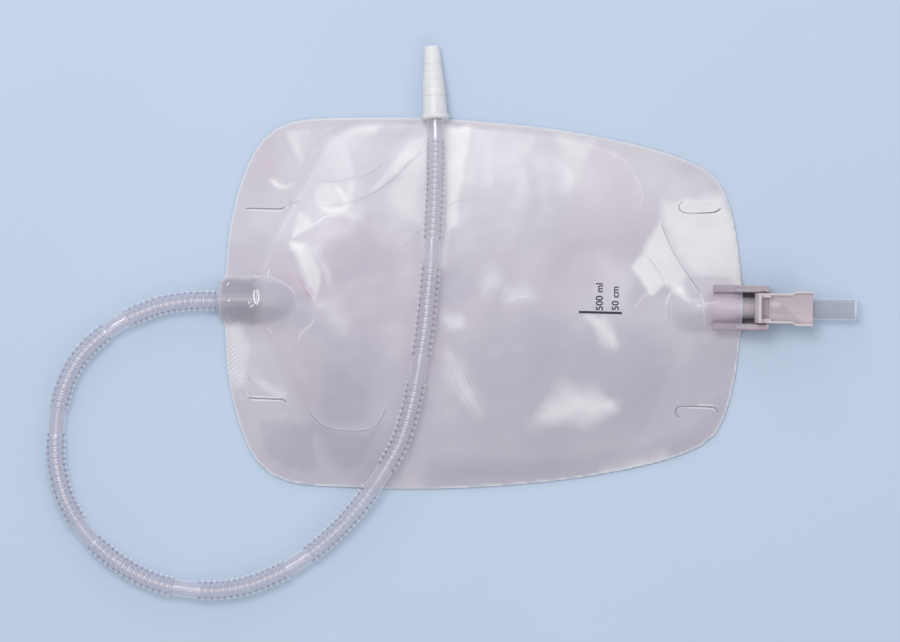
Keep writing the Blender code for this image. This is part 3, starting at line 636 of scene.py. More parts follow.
# Thin bright lines in the same form: folds that catch the light
GLINTS = [
    (0.3, 0.2, [(45.8, -1.4), (49.8, 4), (53.1, 7.5)]),
    (1.0, 0.15, [(-133.4, 5.7), (-133.6, 2.6), (-133.2, 0.4), (-132.5, -1.8)]),
    (1.0, 0.15, [(-132.7, 6.1), (-131.6, 4.3), (-131.3, 1.4), (-131.7, -0.8), (-132.4, -2.1)]),
    (1.0, 0.1, [(-146.1, 0), (-145.3, 0.1), (-144.4, 0.2)]),
    (1.0, 0.1, [(-136, 0.2), (-135.8, -0.6), (-135.7, -1.5)]),
    (1.0, 0.15, [(-135.6, -3), (-134.6, -2.4), (-133.4, -1.5)]),
    (0.9, 0.1, [(-146.5, 7.2), (-146.1, 8), (-145.5, 8.8)]),
    (0.5, 0.15, [(-133.6, 12.8), (-133.2, 11.5), (-132, 11.5)]),
    (0.7, 0.15, [(-126.6, 15.2), (-127.2, 13.2), (-127.9, 11.0)]),
    (0.5, 0.15, [(-127.4, -12.6), (-126, -13.8), (-124.6, -15.2)]),
    (0.5, 0.15, [(-105.3, -7.5), (-106, -10.2), (-108.5, -12.6), (-111, -14.6), (-112.6, -18.1)]),
    (0.5, 0.15, [(-109.7, 7.7), (-107.1, 4.6), (-105, 0.4)]),
    (0.6, 0.15, [(77.3, 7.2), (78.2, 4.2), (78.8, 1.1)]),
    (0.5, 0.15, [(67.9, 48.2), (69, 49.9), (74.9, 50.5), (83.1, 50.3), (86, 48.7)]),
    (0.4, 0.15, [(-14, 1.7), (-9.5, 3.6), (-3.9, 3.8)]),
    (0.45, 0.1, [(84.7, 6.1), (90.6, 6.1), (97.3, 5.7)]),
    (0.4, 0.1, [(78.4, 0), (79.2, -3.9), (79.8, -9)]),
    (0.35, 0.1, [(89.2, 0.1), (92.7, -0.1), (96.8, 0.2)]),
    (0.6, 0.15, [(78.8, 1.1), (81, 2.0), (86.8, 2.6)]),
    (0.32, 0.15, [(30.5, 74), (41, 68.5), (47.5, 59), (49.5, 52), (48, 46.5)]),
    (0.6, 0.15, [(-137.7, 43.2), (-128.7, 43), (-120.4, 42.9)]),
    (0.6, 0.15, [(-135.8, -46.7), (-128.6, -46.9), (-120.2, -47)]),
    (0.6, 0.15, [(-135, -45.1), (-126.5, -45.4), (-120.2, -45.7)]),
    (0.5, 0.15, [(76.2, -46.3), (80.4, -46.2), (85.1, -46.4)]),
    (0.5, 0.15, [(70.3, -47.7), (76.2, -47.6), (81.5, -47.8), (84.7, -48.3), (85.7, -49.6)]),
    (0.6, 0.15, [(-116.7, 28.6), (-114, 32.4), (-109.8, 35.2), (-105, 37.3), (-100.2, 40.5),
     (-96.7, 40.9)]),
    (0.5, 0.15, [(69.1, 45.8), (76.1, 45.5), (81.6, 45.7), (85.1, 46.8)]),
]  # fmt: skip

# Where the film stands off the sheet below and looks milky white, with painted reflections of the light in
# the same patches: strength, softness and outline in mm
BRIGHT = [
    (0.6, 1.2, [(-118.2, 80.4), (-108.5, 81.3), (-106.1, 79.3), (-114.5, 78), (-117.8, 78.3)]),
    (0.8, 1.2, [(-118.4, 78.3), (-114.5, 78.3), (-110.7, 67.5), (-111.9, 66.6), (-115.6, 71.4)]),
    (0.6, 1.5, [(-109, 71.2), (-105.4, 73.3), (-105.9, 70.3), (-108.3, 69.1)]),
    (0.55, 2, [(-145.3, -10.5), (-140.9, -11.4), (-135.4, -21.3), (-135.6, -33.9), (-139.2, -40.3),
     (-142.3, -41.3), (-143.8, -31.3)]),
    (0.6, 1.5, [(-132.9, -36.2), (-128.8, -37), (-118.3, -44.4), (-119.5, -45.6), (-125.1, -44.8),
     (-129.7, -41.5)]),
    (0.35, 2, [(-127.7, -54.3), (-122.2, -53.7), (-116.8, -54.3), (-122.2, -55.3)]),
    (0.4, 2.5, [(-103.1, -0.9), (-94, -0.8), (-89.4, -9.7), (-90.2, -15.2), (-96.6, -10.8)]),
    (0.4, 2.2, [(-42.1, -20.9), (-38.5, -25.3), (-30.1, -38.8), (-25.4, -51.4), (-30, -49.6),
     (-38.3, -39.8), (-42, -32.6)]),
    (0.5, 3, [(-100.4, 81.7), (-76.3, 84.3), (-76.6, 80.5), (-80, 75.9), (-87.4, 70.6), (-87.6, 59.2),
     (-105.4, 58.2), (-109.2, 59.7), (-103.3, 69.6)]),
    (0.8, 2, [(-92.8, 80.3), (-87.6, 83), (-76.3, 84.3), (-76.6, 80.5), (-85.3, 78.9), (-91.3, 77.3)]),
    (0.45, 2, [(-116.7, 80.3), (-102.8, 80.5), (-104.2, 75.7), (-107.6, 70.1), (-112.4, 67.2),
     (-116, 74.8)]),
    (0.6, 2, [(-106.3, 55.5), (-101.1, 56.6), (-97.6, 55.6), (-94.8, 51.5), (-94.1, 47.3), (-98.2, 45.2),
     (-102.3, 44.4), (-104.4, 45.8), (-106.6, 49.9)]),
    (0.9, 1.2, [(-96.3, 56.3), (-92.8, 53.6), (-88.5, 48.8), (-89.2, 45.3), (-92.6, 41.8), (-96.1, 41.1),
     (-100.9, 43.8), (-103.8, 46.5), (-101.7, 47.2), (-97.5, 44.9), (-93.3, 44.9), (-92.3, 47.4),
     (-94.8, 51.5)]),
    (0.7, 1.6, [(-90.4, 58.5), (-86.9, 58.5), (-87.2, 50.2), (-88.5, 48.5), (-90.6, 50.2)]),
    (0.55, 1.5, [(-92.6, 44.6), (-87, 42.2), (-82.5, 40.9), (-84.2, 39.3), (-89.8, 39.9), (-94, 41.1)]),
    (0.8, 1.1, [(-113.1, 43.3), (-110.6, 41.9), (-107.1, 36.4), (-109.1, 34.6), (-112.6, 33.2),
     (-115.7, 30), (-114.7, 35.9), (-113.4, 38.7)]),
    (0.65, 1.0, [(-117, 27.9), (-113.2, 27.6), (-109.4, 27.1), (-106.2, 21.5), (-103.7, 13.9),
     (-103.2, 5.6), (-104.2, 0), (-105.9, 4.1), (-110.2, 12.4), (-113.8, 20), (-116.7, 25.5)]),
    (1.0, 1.0, [(-117, 28.1), (-109.2, 27.3), (-110.4, 24.6), (-114.5, 23.1), (-116.4, 24.8)]),
    (0.45, 1.3, [(-109.7, 27), (-104.8, 24.3), (-101.3, 18.8), (-98.6, 13.3), (-99.1, 9.1), (-100.5, 12.6),
     (-103.4, 19.5), (-106.2, 23.6)]),
    (1.0, 0.9, [(-127.2, 57.3), (-124, 57.8), (-120.9, 56.1), (-116, 55.4), (-121.2, 53.9),
     (-124.7, 54.4)]),
    (0.7, 1.2, [(-53.6, 82), (-53.2, 75.6), (-64.7, 63.3), (-75.1, 54.9), (-79.6, 52.9), (-69.3, 66.3),
     (-64.8, 72.4)]),
    (0.65, 3, [(-53.2, 74.8), (-53, 36.3), (-56.8, 36.3), (-64.4, 40.7), (-70.4, 42.1), (-72.1, 52.7),
     (-69.1, 57.2)]),
    (0.35, 3, [(-70.4, 43.6), (-76.4, 36), (-74.8, 29.2), (-64.9, 24.8), (-61.1, 21.9), (-54.4, 30.3),
     (-53.8, 37.1), (-64.4, 40.7)]),
    (1.0, 1.2, [(-45.4, 84.7), (-32.5, 84.2), (-33.5, 70.6), (-36.6, 51.6), (-37, 37.3), (-43.5, 35.3)]),
    (0.5, 1.6, [(-32.5, 84.2), (-24.2, 82.8), (-27.8, 70.6), (-31.3, 51.7), (-29.6, 39.7), (-37.2, 37.3),
     (-36.6, 51.6), (-33.5, 70.6)]),
    (0.55, 3, [(-27.2, 80.5), (-20.4, 81.3), (-20.8, 54.9), (-26.1, 53.3)]),
    (0.5, 3, [(-12.9, 81.4), (-1.6, 80.8), (-4.3, 58.1), (-10.3, 59.6)]),
    (0.6, 4, [(-14, 80.5), (-3, 80), (0, 78), (-3.5, 71.5), (-7, 66.5), (-12.5, 66.5)]),
    (0.75, 3, [(8, 79.5), (18, 79), (25.5, 77), (22, 67), (19, 55), (15, 57), (11, 70.5)]),
    (0.5, 4, [(-1.5, 63), (4.5, 62), (8, 43), (0.5, 43)]),
    (0.45, 3, [(-23.5, 18), (-19.5, 16.5), (-18, 9.5), (-24, 4), (-26, 4.5)]),
    (0.5, 2.5, [(-14.5, 8), (-6, 7.5), (-2.5, 3.5), (-9, 1.5), (-13.5, 1.5)]),
    (0.8, 2.5, [(-42.5, -7), (-36, -6.5), (-36, -10.5), (-41, -11)]),
    (0.8, 2, [(24.5, -5), (32, -5.5), (37.5, -16), (36, -19.5), (29.5, -13)]),
    (0.85, 3.5, [(14, -43.5), (25, -42), (37.5, -45.5), (37.5, -49.5), (20.5, -53.5), (3, -53)]),
    (0.6, 2.5, [(35, -79.5), (47, -74.5), (61, -71.5), (47, -77.5)]),
    (1.0, 1.0, [(57.9, 40.8), (61.1, 34.1), (70.9, 14.7), (69, 11.6), (72.4, 2.7), (66.5, 6.5),
     (62.4, 9.8), (58.3, 9.4), (53.6, 5.5), (51.8, 9.5), (44.4, 18.6), (50.1, 25.8)]),
    (0.9, 2, [(58.7, 50.2), (71.1, 52.1), (87.1, 54.4), (91.4, 41.3), (95.1, 26.1), (96, 12.2),
     (87.6, 13.5), (80.7, 15.5), (76.5, 14.7), (71.6, 16.7), (68.8, 20.2), (62.4, 32.6), (58.8, 40.8)]),
    (0.35, 1.2, [(30.2, 74.4), (37.5, 72.8), (43.9, 67.8), (48.6, 59.2), (50.3, 48.4), (47.4, 45.6),
     (47, 54.7), (42.6, 63.7), (36.2, 70.4)]),
    (0.6, 1.6, [(-55.8, 83), (-42.6, 84.1), (-41.9, 37.3), (-43.1, 19.7), (-47.7, 11.2), (-53.5, 19.6),
     (-55.7, 39.4)]),
    (0.35, 1.5, [(60.6, 61.7), (65.4, 62.4), (64.8, 57.6), (61.4, 54.8), (59.6, 58.2)]),
]  # fmt: skip
# Broad, soft painted sheen of light over whole parts of the film
BROAD_SHEEN = [
    (0.36, 12, [(-46, 84), (60, 75), (75, 55), (70, 45), (50, 45), (20, 40), (-46, 30)]),
    (0.35, 8, [(-130, 50), (-110, 84), (-60, 86), (-50, 84), (-55, 34), (-100, 45), (-118, 30),
     (-145, 30)]),
    (0.45, 7, [(62, 66), (80, 62), (92, 45), (96, 14), (78, 10), (66, 30), (56, 50)]),
    (0.3, 5, [(56, 3.1), (83, 5.4), (83.2, -13), (63.3, -13.3), (49.1, -6.4)]),
    (0.35, 4, [(29.7, 22.7), (43.9, 21), (46, 10.1), (43.3, -3.7), (30.1, -1.9)]),
    (0.3, 5, [(-65, 32.2), (-53.7, 32.4), (-53.2, 1.6), (-64.7, 6.2)]),
    (0.15, 8, [(20.2, 26.3), (43.8, 33.7), (53.7, 3.1), (39.7, -11.3), (23, -4.4)]),
    (0.3, 5, [(82.9, 10.6), (97.1, 10.8), (97.4, -15.2), (83.2, -13)]),
    (0.25, 8, [(-145, -12), (-112, -18), (-112, -44), (-128, -62), (-142, -40)]),
    (0.4, 7, [(-46, 84), (-28, 84), (-30, 60), (-36, 36), (-44, 30)]),
]  # fmt: skip
# Where the film looks pinker
PINK = [
    (0.8, 1.5, [(-129.4, 65.9), (-127.6, 65.6), (-123.4, 60.1), (-122.7, 57.4), (-126.1, 58),
     (-127.9, 62.1)]),
    (0.9, 1.5, [(-119.3, 10.8), (-114.8, 8), (-111, 5.5), (-107.8, 2.4), (-104.9, -0.4), (-104.6, 2.4),
     (-107.8, 7.4), (-112.7, 11.8), (-117.4, 13)]),
    (0.9, 2, [(82.9, 10.6), (97.1, 10.8), (97.4, -10.5), (81.3, -10.7)]),
    (0.9, 2, [(-128.2, -13), (-120.9, -18.8), (-111.9, -17.3), (-105.9, -24.5), (-103.9, -35.3),
     (-104.7, -48.4), (-110.1, -47.1), (-116.2, -33.7), (-120.9, -22.9)]),
    (0.8, 3, [(-121.5, -18.5), (-113.5, -17), (-106.5, -24.5), (-105.5, -47.5), (-113, -39)]),
    (0.25, 8, [(-98, 30), (-55, 30), (-58, -20), (-80, -10), (-98, 0)]),
    (0.35, 3, [(25.5, 77), (30.5, 74), (41, 68.5), (47.5, 59), (49.5, 52), (53, 43.5), (55.5, 38.5),
     (48.5, 26), (35.5, 13.5), (20.5, 7.5), (10, 12), (18, 45), (19.5, 59.5)]),
]  # fmt: skip
# Where the film lies on the sheet below and looks greyer, and painted shade where it lies in its own shade
DEEP = [
    (0.4, 1.6, [(45.8, 12.3), (48.3, 11.7), (51.8, 7.2), (48.4, 3.6), (45.7, 0.8), (44.3, 6.7)]),
    (0.48, 10, [(-141.7, -33.7), (-111.7, -15.8), (-77.5, -22.4), (-70.8, -64.9), (-76.6, -89.5),
     (-128.7, -86.5)]),
    (0.7, 5, [(-48, -76.2), (-30.5, -72), (12.1, -72.2), (49.9, -67), (78.1, -55.7), (86.5, -41.8),
     (91.3, -48.4), (78.3, -68.4), (31.2, -84.2), (-30.2, -89.8), (-48, -89.5)]),
    (0.95, 3, [(-91.7, 81.5), (-60.1, 82.9), (-64.7, 76.2), (-77.7, 59.9), (-87.2, 61.7), (-89.2, 72.1)]),
    (0.25, 2, [(69.2, 43.8), (83, 44), (81, 40.5), (71.3, 40.7)]),
    (0.2, 2.5, [(84.5, 38.4), (90, 39.9), (91.6, 26), (89.7, 15.6), (84.8, 14.8)]),
    (0.35, 1.5, [(71.7, 15.3), (76.6, 11.9), (80.7, 14.8), (80.1, 9.9), (76.6, 8.8)]),
    (0.4, 2, [(-99.8, 63.9), (-92.9, 64.7), (-90.8, 62), (-92.1, 58.5), (-97, 58.4), (-99.8, 61.1)]),
    (0.3, 3, [(-119.2, 7.3), (-112.6, 6.7), (-107.8, 1.7), (-105.2, -2.7), (-106.1, -7.1), (-114, -7.2),
     (-118.8, -0.9)]),
    (0.4, 6, [(72.8, -13.2), (95.5, -12.9), (93.1, -43.6), (78.2, -58), (68.5, -46.3)]),
    (0.85, 1.6, [(-130.8, -56), (-102.3, -57), (-104, -64.3), (-102.1, -80.1), (-107.4, -81),
     (-118.3, -78.9), (-125.6, -73.6), (-128.9, -66.4)]),
    (0.8, 1.6, [(-107.8, -49.8), (-102.3, -57), (-93.2, -61.4), (-78.7, -61.2), (-74.2, -57.5),
     (-76.8, -67.5), (-80.3, -73.9), (-84.8, -78.5), (-90.6, -79.9), (-95.7, -75), (-100.3, -66)]),
    (0.75, 4, [(-102.7, -28.9), (-90, -28.8), (-79, -42.2), (-78.8, -56.7), (-89.6, -59.5), (-99.6, -57),
     (-104.2, -48)]),
    (0.36, 2.5, [(-150.5, 9), (-140.5, 10.5), (-127, 11), (-112, 8.5), (-105.5, 1), (-105.5, -8.5),
     (-112, -15.5), (-118, -17.5), (-125, -12), (-143.5, -10.5), (-149, -6)]),
    (0.5, 14, [(-30, -20), (40, -20), (70, -30), (60, -65), (0, -75), (-35, -70)]),
    (0.3, 2.5, [(-75.5, 81.3), (-69.4, 79.1), (-69.3, 67.8), (-81.2, 60.5), (-87.3, 59.6), (-87.4, 69.8),
     (-80, 76.7)]),
    (0.25, 2.0, [(-99.4, 64.4), (-92.6, 63.7), (-92.5, 59.2), (-98.6, 59.1)]),
    (0.25, 3.0, [(-63.1, 57.3), (-57, 56.6), (-56.2, 46.8), (-61.4, 46)]),
]  # fmt: skip
# Where the film lies on the port or on the tube and looks clear
CLEAR = [
    (0.6, 2, [(-152, 10), (-152, -10), (-133, -10), (-130, 0), (-133, 10)]),
    (0.35, 2, [(77, 6), (99, 7), (99, -7), (85, -7), (79.5, -2)]),
]  # fmt: skip

# Ribs pressed into the weld: half width in mm, slant in degrees, 1 for chevrons, strength,
# pitch in mm and middle line
HATCHES = [
    (4.2, 48, 0, 0.6, 1.35, [(-119, 82), (-98, 82.5), (-76, 82)]),
    (3.6, 27, 0, 0.6, 1.35, [(-98, 78), (-104, 67), (-108.5, 58), (-112.5, 52), (-117, 46.5)]),
    (3.4, -48, 0, 0.6, 1.35, [(-125.3, 51.8), (-119, 48), (-114.1, 45)]),
    (3.2, -48, 0, 0.6, 1.35, [(-143, 46), (-142.5, 38.3), (-140, 31.4)]),
    (2.4, 55, 0, 0.6, 1.35, [(-121.5, 29.5), (-128, 18.5)]),
    (5.0, 0, 1, 2.2, 2.1, [(-143, -9), (-142.5, -25.5), (-139, -43)]),
    (4.0, -40, 0, 2.0, 1.5, [(-132, -35), (-120, -44.5)]),
    (2.0, 62, 0, 0.6, 1.35, [(-102, -84.5), (-86, -86)]),
]  # fmt: skip


def outline_mask(rows, x, y):
    """How far each place lies within soft-edged outlines, from 0 to 1."""
    total = np.zeros(x.shape)
    warped_x = x + 0.9 * MM * soft_noise(x, y, 13 * MM, 31) + 0.3 * MM * soft_noise(x, y, 5 * MM, 32)
    warped_y = y + 0.9 * MM * soft_noise(x, y, 13 * MM, 33) + 0.3 * MM * soft_noise(x, y, 5 * MM, 34)
    blur = 1.9 + 0.9 * np.clip(soft_noise(x, y, 26 * MM, 35), -1, 1)
    for strength, soft, outline in rows:
        line = [(px * MM, py * MM) for px, py in outline]
        apart, _ = distance_to(line, warped_x, warped_y, closed=True)
        depth = np.where(is_inside(line, warped_x, warped_y), apart, -apart)
        total = np.maximum(total, strength * smoothstep(0.6 + depth / (2 * soft * MM * blur)))
    return total


def hatch_masks(x, y):
    """Where ribs are pressed into the weld, and each place's distance across them."""
    mask, phase, nearest = np.zeros(x.shape), np.zeros(x.shape), np.full(x.shape, 1e9)
    for half, slant, fan, strength, pitch, line in HATCHES:
        apart, _ = distance_to(curve_through(line, 4), x, y)
        apart = apart / (half * MM)
        angle = math.radians(slant)
        across = y + 0.9 * apart * half * MM if fan else y * math.cos(angle) - x * math.sin(angle)
        phase = np.where(apart < nearest, across / (pitch * MM), phase)
        nearest = np.minimum(apart, nearest)
        mask = np.maximum(mask, strength * (1 - smoothstep((apart - 0.55) / 0.45)))
    patchy = 0.55 + 0.45 * soft_noise(x, y, 9 * MM, 21)
    return mask * np.clip(patchy, 0.15, 1) * (nearest < 1), phase


def line_sides(rows, x, y):
    """Signed distance in mm to the nearest of some lines, and how strongly each place is near one."""
    nearest, side, near = np.full(x.shape, 1e9), np.full(x.shape, 3.0), np.zeros(x.shape)
    for strength, start, line in rows:
        points = curve_through(line, 8)
        apart, along = distance_to(points, x, y)
        sign, best = np.ones(x.shape), np.full(x.shape, 1e9)
        for (ax, ay), (bx, by) in zip(points, points[1:]):
            middle = np.hypot(x - (ax + bx) / 2, y - (ay + by) / 2)
            turned = np.sign((bx - ax) * (y - ay) - (by - ay) * (x - ax))
            sign = np.where(middle < best, turned, sign)
            best = np.minimum(best, middle)
        closer = apart < nearest
        fade = strength * smoothstep(along / start) * smoothstep((1 - along) / 0.1)
        side = np.where(closer, np.clip(sign * apart / MM, -3, 3), side)
        near = np.where(closer, fade * (1 - smoothstep((apart / MM - 1.6) / 1.0)), near)
        nearest = np.minimum(apart, nearest)
    return side, near


def film_shape(x, y, chamber):
    """Height of the front film's underside."""
    edge_distance, _ = distance_to(chamber, x, y, closed=True)
    depth = np.where(is_inside(chamber, x, y), edge_distance, 0)
    share = np.minimum(depth / DOME_RUN, 1)
    rise = 1 - (1 - share * share / (share + 0.04)) ** 2
    port_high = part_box("inlet_port")[1]
    over_port = drape(y, PORT_RADIUS, PORT_AXIS, port_high[1] + PORT_FOOT)
    over_tube = drape(y, TUBE_RADIUS + GAP, TUBE_AXIS, TUBE_RADIUS + TUBE_FOOT)
    port_share = smoothstep((COLLAR_END + TENT_RUN - x) / TENT_RUN)
    tube_share = smoothstep((x - TUBE_SEAM_END + TENT_RUN) / TENT_RUN)

    calm = np.ones(x.shape)
    for middle_x, middle_y, radius, run, least in CALM:
        apart = np.hypot(x - middle_x * MM, y - middle_y * MM)
        calm = calm * (least + (1 - least) * smoothstep((apart - radius * MM) / (run * MM)))
    puff = rise * calm
    waves = sum(tall * soft_noise(x, y, size * MM, seed) for tall, size, seed in WAVES)
    height = SEAM + DOME_RISE * rise + puff * MM * waves
    height = height + 0.06 * MM * (1 - rise) * calm * (1 + soft_noise(x, y, 22 * MM, 11))
    for tall, wide, line in FOLDS:
        apart, along = distance_to(curve_through(line, 6), x, y)
        fade = smoothstep(along / 0.25) * smoothstep((1 - along) / 0.25)
        fold = 0.6 * tall * MM * fade * np.exp(-((apart / (wide * MM)) ** 2))
        height = height + fold * np.minimum(puff + 0.3, 1)
    side, near = line_sides(CREASES, x, y)
    height = height + 0.1 * MM * near * smoothstep(0.5 + side / 1.6)
    height = np.maximum(height, SEAM + port_share * (over_port - SEAM))
    height = np.maximum(height, SEAM + tube_share * (over_tube - SEAM))
    return np.maximum(height, SEAM)


def film_masks(x, y, edge):
    """Values from 0 to 1 that the film's material reads at each of its points."""
    rim_distance, _ = distance_to(edge, x, y, closed=True)
    hatch, phase = hatch_masks(x, y)
    side, near = line_sides(CREASES, x, y)
    glint_side, glint = line_sides(GLINTS, x, y)
    return {
        # bright: milky white with painted reflections, and the broad painted sheen
        "bright": np.maximum(outline_mask(BRIGHT, x, y), outline_mask(BROAD_SHEEN, x, y)),
        "pink": outline_mask(PINK, x, y),
        "deep": outline_mask(DEEP, x, y),
        "clear": outline_mask(CLEAR, x, y),
        # rim: a painted highlight along the film's cut edge
        "rim": 1 - smoothstep(rim_distance / (1.1 * MM)),
        "hatch": hatch,
        "phase": phase,
        "side": side,
        "near": near,
        "glint_side": glint_side,
        "glint": glint,
    }


def add_prism(name, outline, low, high):
    count = len(outline)
    vertices = [(x, y, low) for x, y in outline] + [(x, y, high) for x, y in outline]
    faces = [tuple(range(count))[::-1], tuple(range(count, 2 * count))]
    faces += [(i, (i + 1) % count, count + (i + 1) % count, count + i) for i in range(count)]
    mesh = bpy.data.meshes.new(name)
    mesh.from_pydata(vertices, [], faces)
    bm = bmesh.new()
    bm.from_mesh(mesh)
    bmesh.ops.recalc_face_normals(bm, faces=bm.faces)
    bm.to_mesh(mesh)
    bm.free()
    return add_object(name, mesh)


def band(line):
    """The closed outline of a band along a line of points, each with its half width."""
    points = [Vector(point[:2]) * MM for point in line]
    sides = []
    for k, (point, (_, _, half)) in enumerate(zip(points, line)):
        along = (points[min(k + 1, len(points) - 1)] - points[max(k - 1, 0)]).normalized()
        across = half * MM * Vector((-along.y, along.x))
        sides.append((point + across, point - across))
    return [tuple(a) for a, _ in sides] + [tuple(b) for _, b in reversed(sides)]


def cut(piece, tools):
    for operation, tool in tools:
        modifier = piece.modifiers.new(tool.name, "BOOLEAN")
        modifier.operation = operation
        modifier.object = tool
        modifier.solver = "EXACT"
    apply_modifiers(piece)
    for _, tool in tools:
        bpy.data.objects.remove(tool, do_unlink=True)


def film_grid():
    """Places all over the film, closer together in the fine columns and rows."""
    low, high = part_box("front_film")
    axes = []
    for axis, stretches in enumerate((FINE_COLUMNS, FINE_ROWS)):
        steps = np.arange(low[axis] - GRID, high[axis] + 2 * GRID, GRID)
        for first, last in stretches:
            steps = np.concatenate([steps[(steps < first) | (steps > last)], np.arange(first, last, FINE)])
        axes.append(np.sort(steps))
    return np.meshgrid(*axes, indexing="ij")


def sheet_faces(columns, rows):
    """Quads of a closed sheet with a grid of points on its underside and one on its upper side."""
    faces, count = [], columns * rows
    for i in range(columns - 1):
        for j in range(rows - 1):
            a, b = i * rows + j, (i + 1) * rows + j
            faces.append((a, a + 1, b + 1, b))
            faces.append((count + a, count + b, count + b + 1, count + a + 1))
    rim = [i * rows for i in range(columns)]
    rim += [(columns - 1) * rows + j for j in range(1, rows)]
    rim += [i * rows + rows - 1 for i in range(columns - 2, -1, -1)]
    rim += list(range(rows - 2, 0, -1))
    return faces + [(a, b, count + b, count + a) for a, b in zip(rim, rim[1:] + rim[:1])]


def build_front_film(material):
    half = smooth_curve([(x * MM, y * MM, 0) for x, y in CHAMBER], 6)
    chamber = [(p.x, p.y) for p in half] + [(p.x, -p.y) for p in reversed(half[1:-1])]
    outline = plan_outline(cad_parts["back_film"])
    x, y = film_grid()
    under = film_shape(x, y, chamber)
    over = under + FILM
    vertices = [*zip(x.flat, y.flat, under.flat), *zip(x.flat, y.flat, over.flat)]
    faces = sheet_faces(*x.shape)
    film = make_piece("front_sheet", vertices, faces, material, smooth_angle=60)
    tools = [("INTERSECT", add_prism("outline_tool", outline, -MM, 30 * MM))]
    for k, line in enumerate(CUTS):
        tools.append(("DIFFERENCE", add_prism(f"slot_tool_{k}", band(line), -MM, 10 * MM)))
    cut(film, tools)
    places = np.empty(len(film.data.vertices) * 3)
    film.data.vertices.foreach_get("co", places)
    places = places.reshape(-1, 3)
    for name, values in film_masks(places[:, 0], places[:, 1], outline).items():
        set_attribute(film, name, values)
    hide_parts("front_film")
    return film


# Print


def on_film(film, piece):
    """Lays a flat piece on the film's upper side, a little above it."""
    tree = BVHTree.FromPolygons(
        [v.co.copy() for v in film.data.vertices], [p.vertices[:] for p in film.data.polygons]
    )
    for vertex in piece.data.vertices:
        hit, _, _, _ = tree.ray_cast(Vector((vertex.co.x, vertex.co.y, 0.05)), Vector((0, 0, -1)))
        vertex.co.z = (hit.z if hit else SEAM + FILM) + PRINT_LIFT + vertex.co.z


def build_print(film, material):
    """A capacity and a hose length, reading up the bag, and the bar below them."""
    for k, (words, base, start, reach) in enumerate(PRINT_LINES):
        curve = bpy.data.curves.new(f"print_{k}", "FONT")
        curve.body = words
        curve.size = 1.0
        curve.offset = 0.014
        text = add_object(f"print_{k}", curve)
        graph = bpy.context.evaluated_depsgraph_get()
        mesh = bpy.data.meshes.new_from_object(text.evaluated_get(graph))
        bpy.data.objects.remove(text, do_unlink=True)
        right = max(v.co.x for v in mesh.vertices)
        left = min(v.co.x for v in mesh.vertices)
        tall = PRINT_HEIGHT / max(v.co.y for v in mesh.vertices)
        long = reach * MM / (right - left)
        mesh.transform(Matrix.Diagonal((long, tall, 1, 1)) @ Matrix.Translation((-left, 0, 0)))
        mesh.transform(Matrix.Rotation(math.pi / 2 + VIEW_ROLL, 4, "Z"))
        mesh.transform(Matrix.Translation((base * MM, start * MM, 0)))
        piece = add_object(f"print_{k}", mesh)
        mesh.materials.clear()
        mesh.materials.append(material)
        on_film(film, piece)
        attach(piece, "bag")
    steps = 24
    start, end = (Vector(place) * MM for place in BAR_ENDS)
    vertices = []
    for i in range(steps + 1):
        middle = start.lerp(end, i / steps)
        vertices += [(middle.x, middle.y - BAR_HALF, 0), (middle.x, middle.y + BAR_HALF, 0)]
    faces = [(2 * i, 2 * i + 2, 2 * i + 3, 2 * i + 1) for i in range(steps)]
    on_film(film, make_piece("print_bar", vertices, faces, material))


# Hose


def hose_radii():
    """Places along the hose and its outer radius at each: ridges, with plain cuffs between them."""
    starts = [CUFF_FIRST + CUFF_PITCH * k for k in range(CUFF_COUNT)]
    cuffs = [(start, start + CUFF_LENGTH) for start in starts] + [(LAST_CUFF, None)]
    places, radii, start = [], [], 0.0
    for cuff_start, cuff_end in cuffs:
        ridges = max(1, round((cuff_start - start) / RIDGE_PITCH))
        steps, closing = 8, 0.0
        if not cuff_end:
            ridges, closing = LAST_RIDGES, LAST_CLOSING
        for i in range(ridges * steps):
            wave, share = 0.5 - 0.5 * math.cos(math.tau * i / steps), i / (ridges * steps)
            places.append(start + (cuff_start - start) * (share + closing * share * (1 - share)))
            radii.append(VALLEY_RADIUS + (HOSE_RADIUS - VALLEY_RADIUS) * wave)
        if cuff_end:
            middle = (cuff_start + cuff_end) / 2
            places += [cuff_start, cuff_start + CUFF_SHOULDER, middle, cuff_end - CUFF_SHOULDER]
            radii += [CUFF_RADIUS] * 4
            start = cuff_end
    return places, radii


def build_hose(material):
    fine = [point * MM for point in smooth_curve(HOSE_ROUTE, 24)]
    passed = np.concatenate([[0], np.cumsum([(b - a).length for a, b in zip(fine, fine[1:])])])
    length = passed[-1]
    coords = np.array(fine)

    def at(along):
        return np.array([np.interp(along, passed, coords[:, axis]) for axis in range(3)])

    places, radii = hose_radii()
    places += [LAST_CUFF, (LAST_CUFF + length) / 2, length]
    radii += [CUFF_RADIUS] * 3
    count = 32
    cosines, sines = circle(count)
    rings = []
    for along, radius in zip(places, radii):
        ahead = Vector(at(min(along + 0.5 * MM, length)) - at(max(along - 0.5 * MM, 0))).normalized()
        side = Vector((0, 0, 1)).cross(ahead).normalized()
        up = ahead.cross(side)
        rings.append(at(along) + radius * (np.outer(cosines, side) + np.outer(sines, up)))
    hose = make_piece(
        "corrugated_hose", np.concatenate(rings), wall_faces(len(rings), count, False), material,
        smooth_angle=80,
    )  # fmt: skip
    radii = np.array(radii)
    ridges = (radii - VALLEY_RADIUS) / (HOSE_RADIUS - VALLEY_RADIUS)
    ridges = np.where(np.abs(radii - CUFF_RADIUS) < 1e-9, 0.5, ridges)
    set_attribute(hose, "ridge", np.repeat(ridges, count))
    set_attribute(hose, "flank", np.tile(np.abs(cosines), len(rings)))
    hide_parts("inlet_hose")
    return hose, [tuple(at(length * k / 260)) for k in range(261)]


# Connector


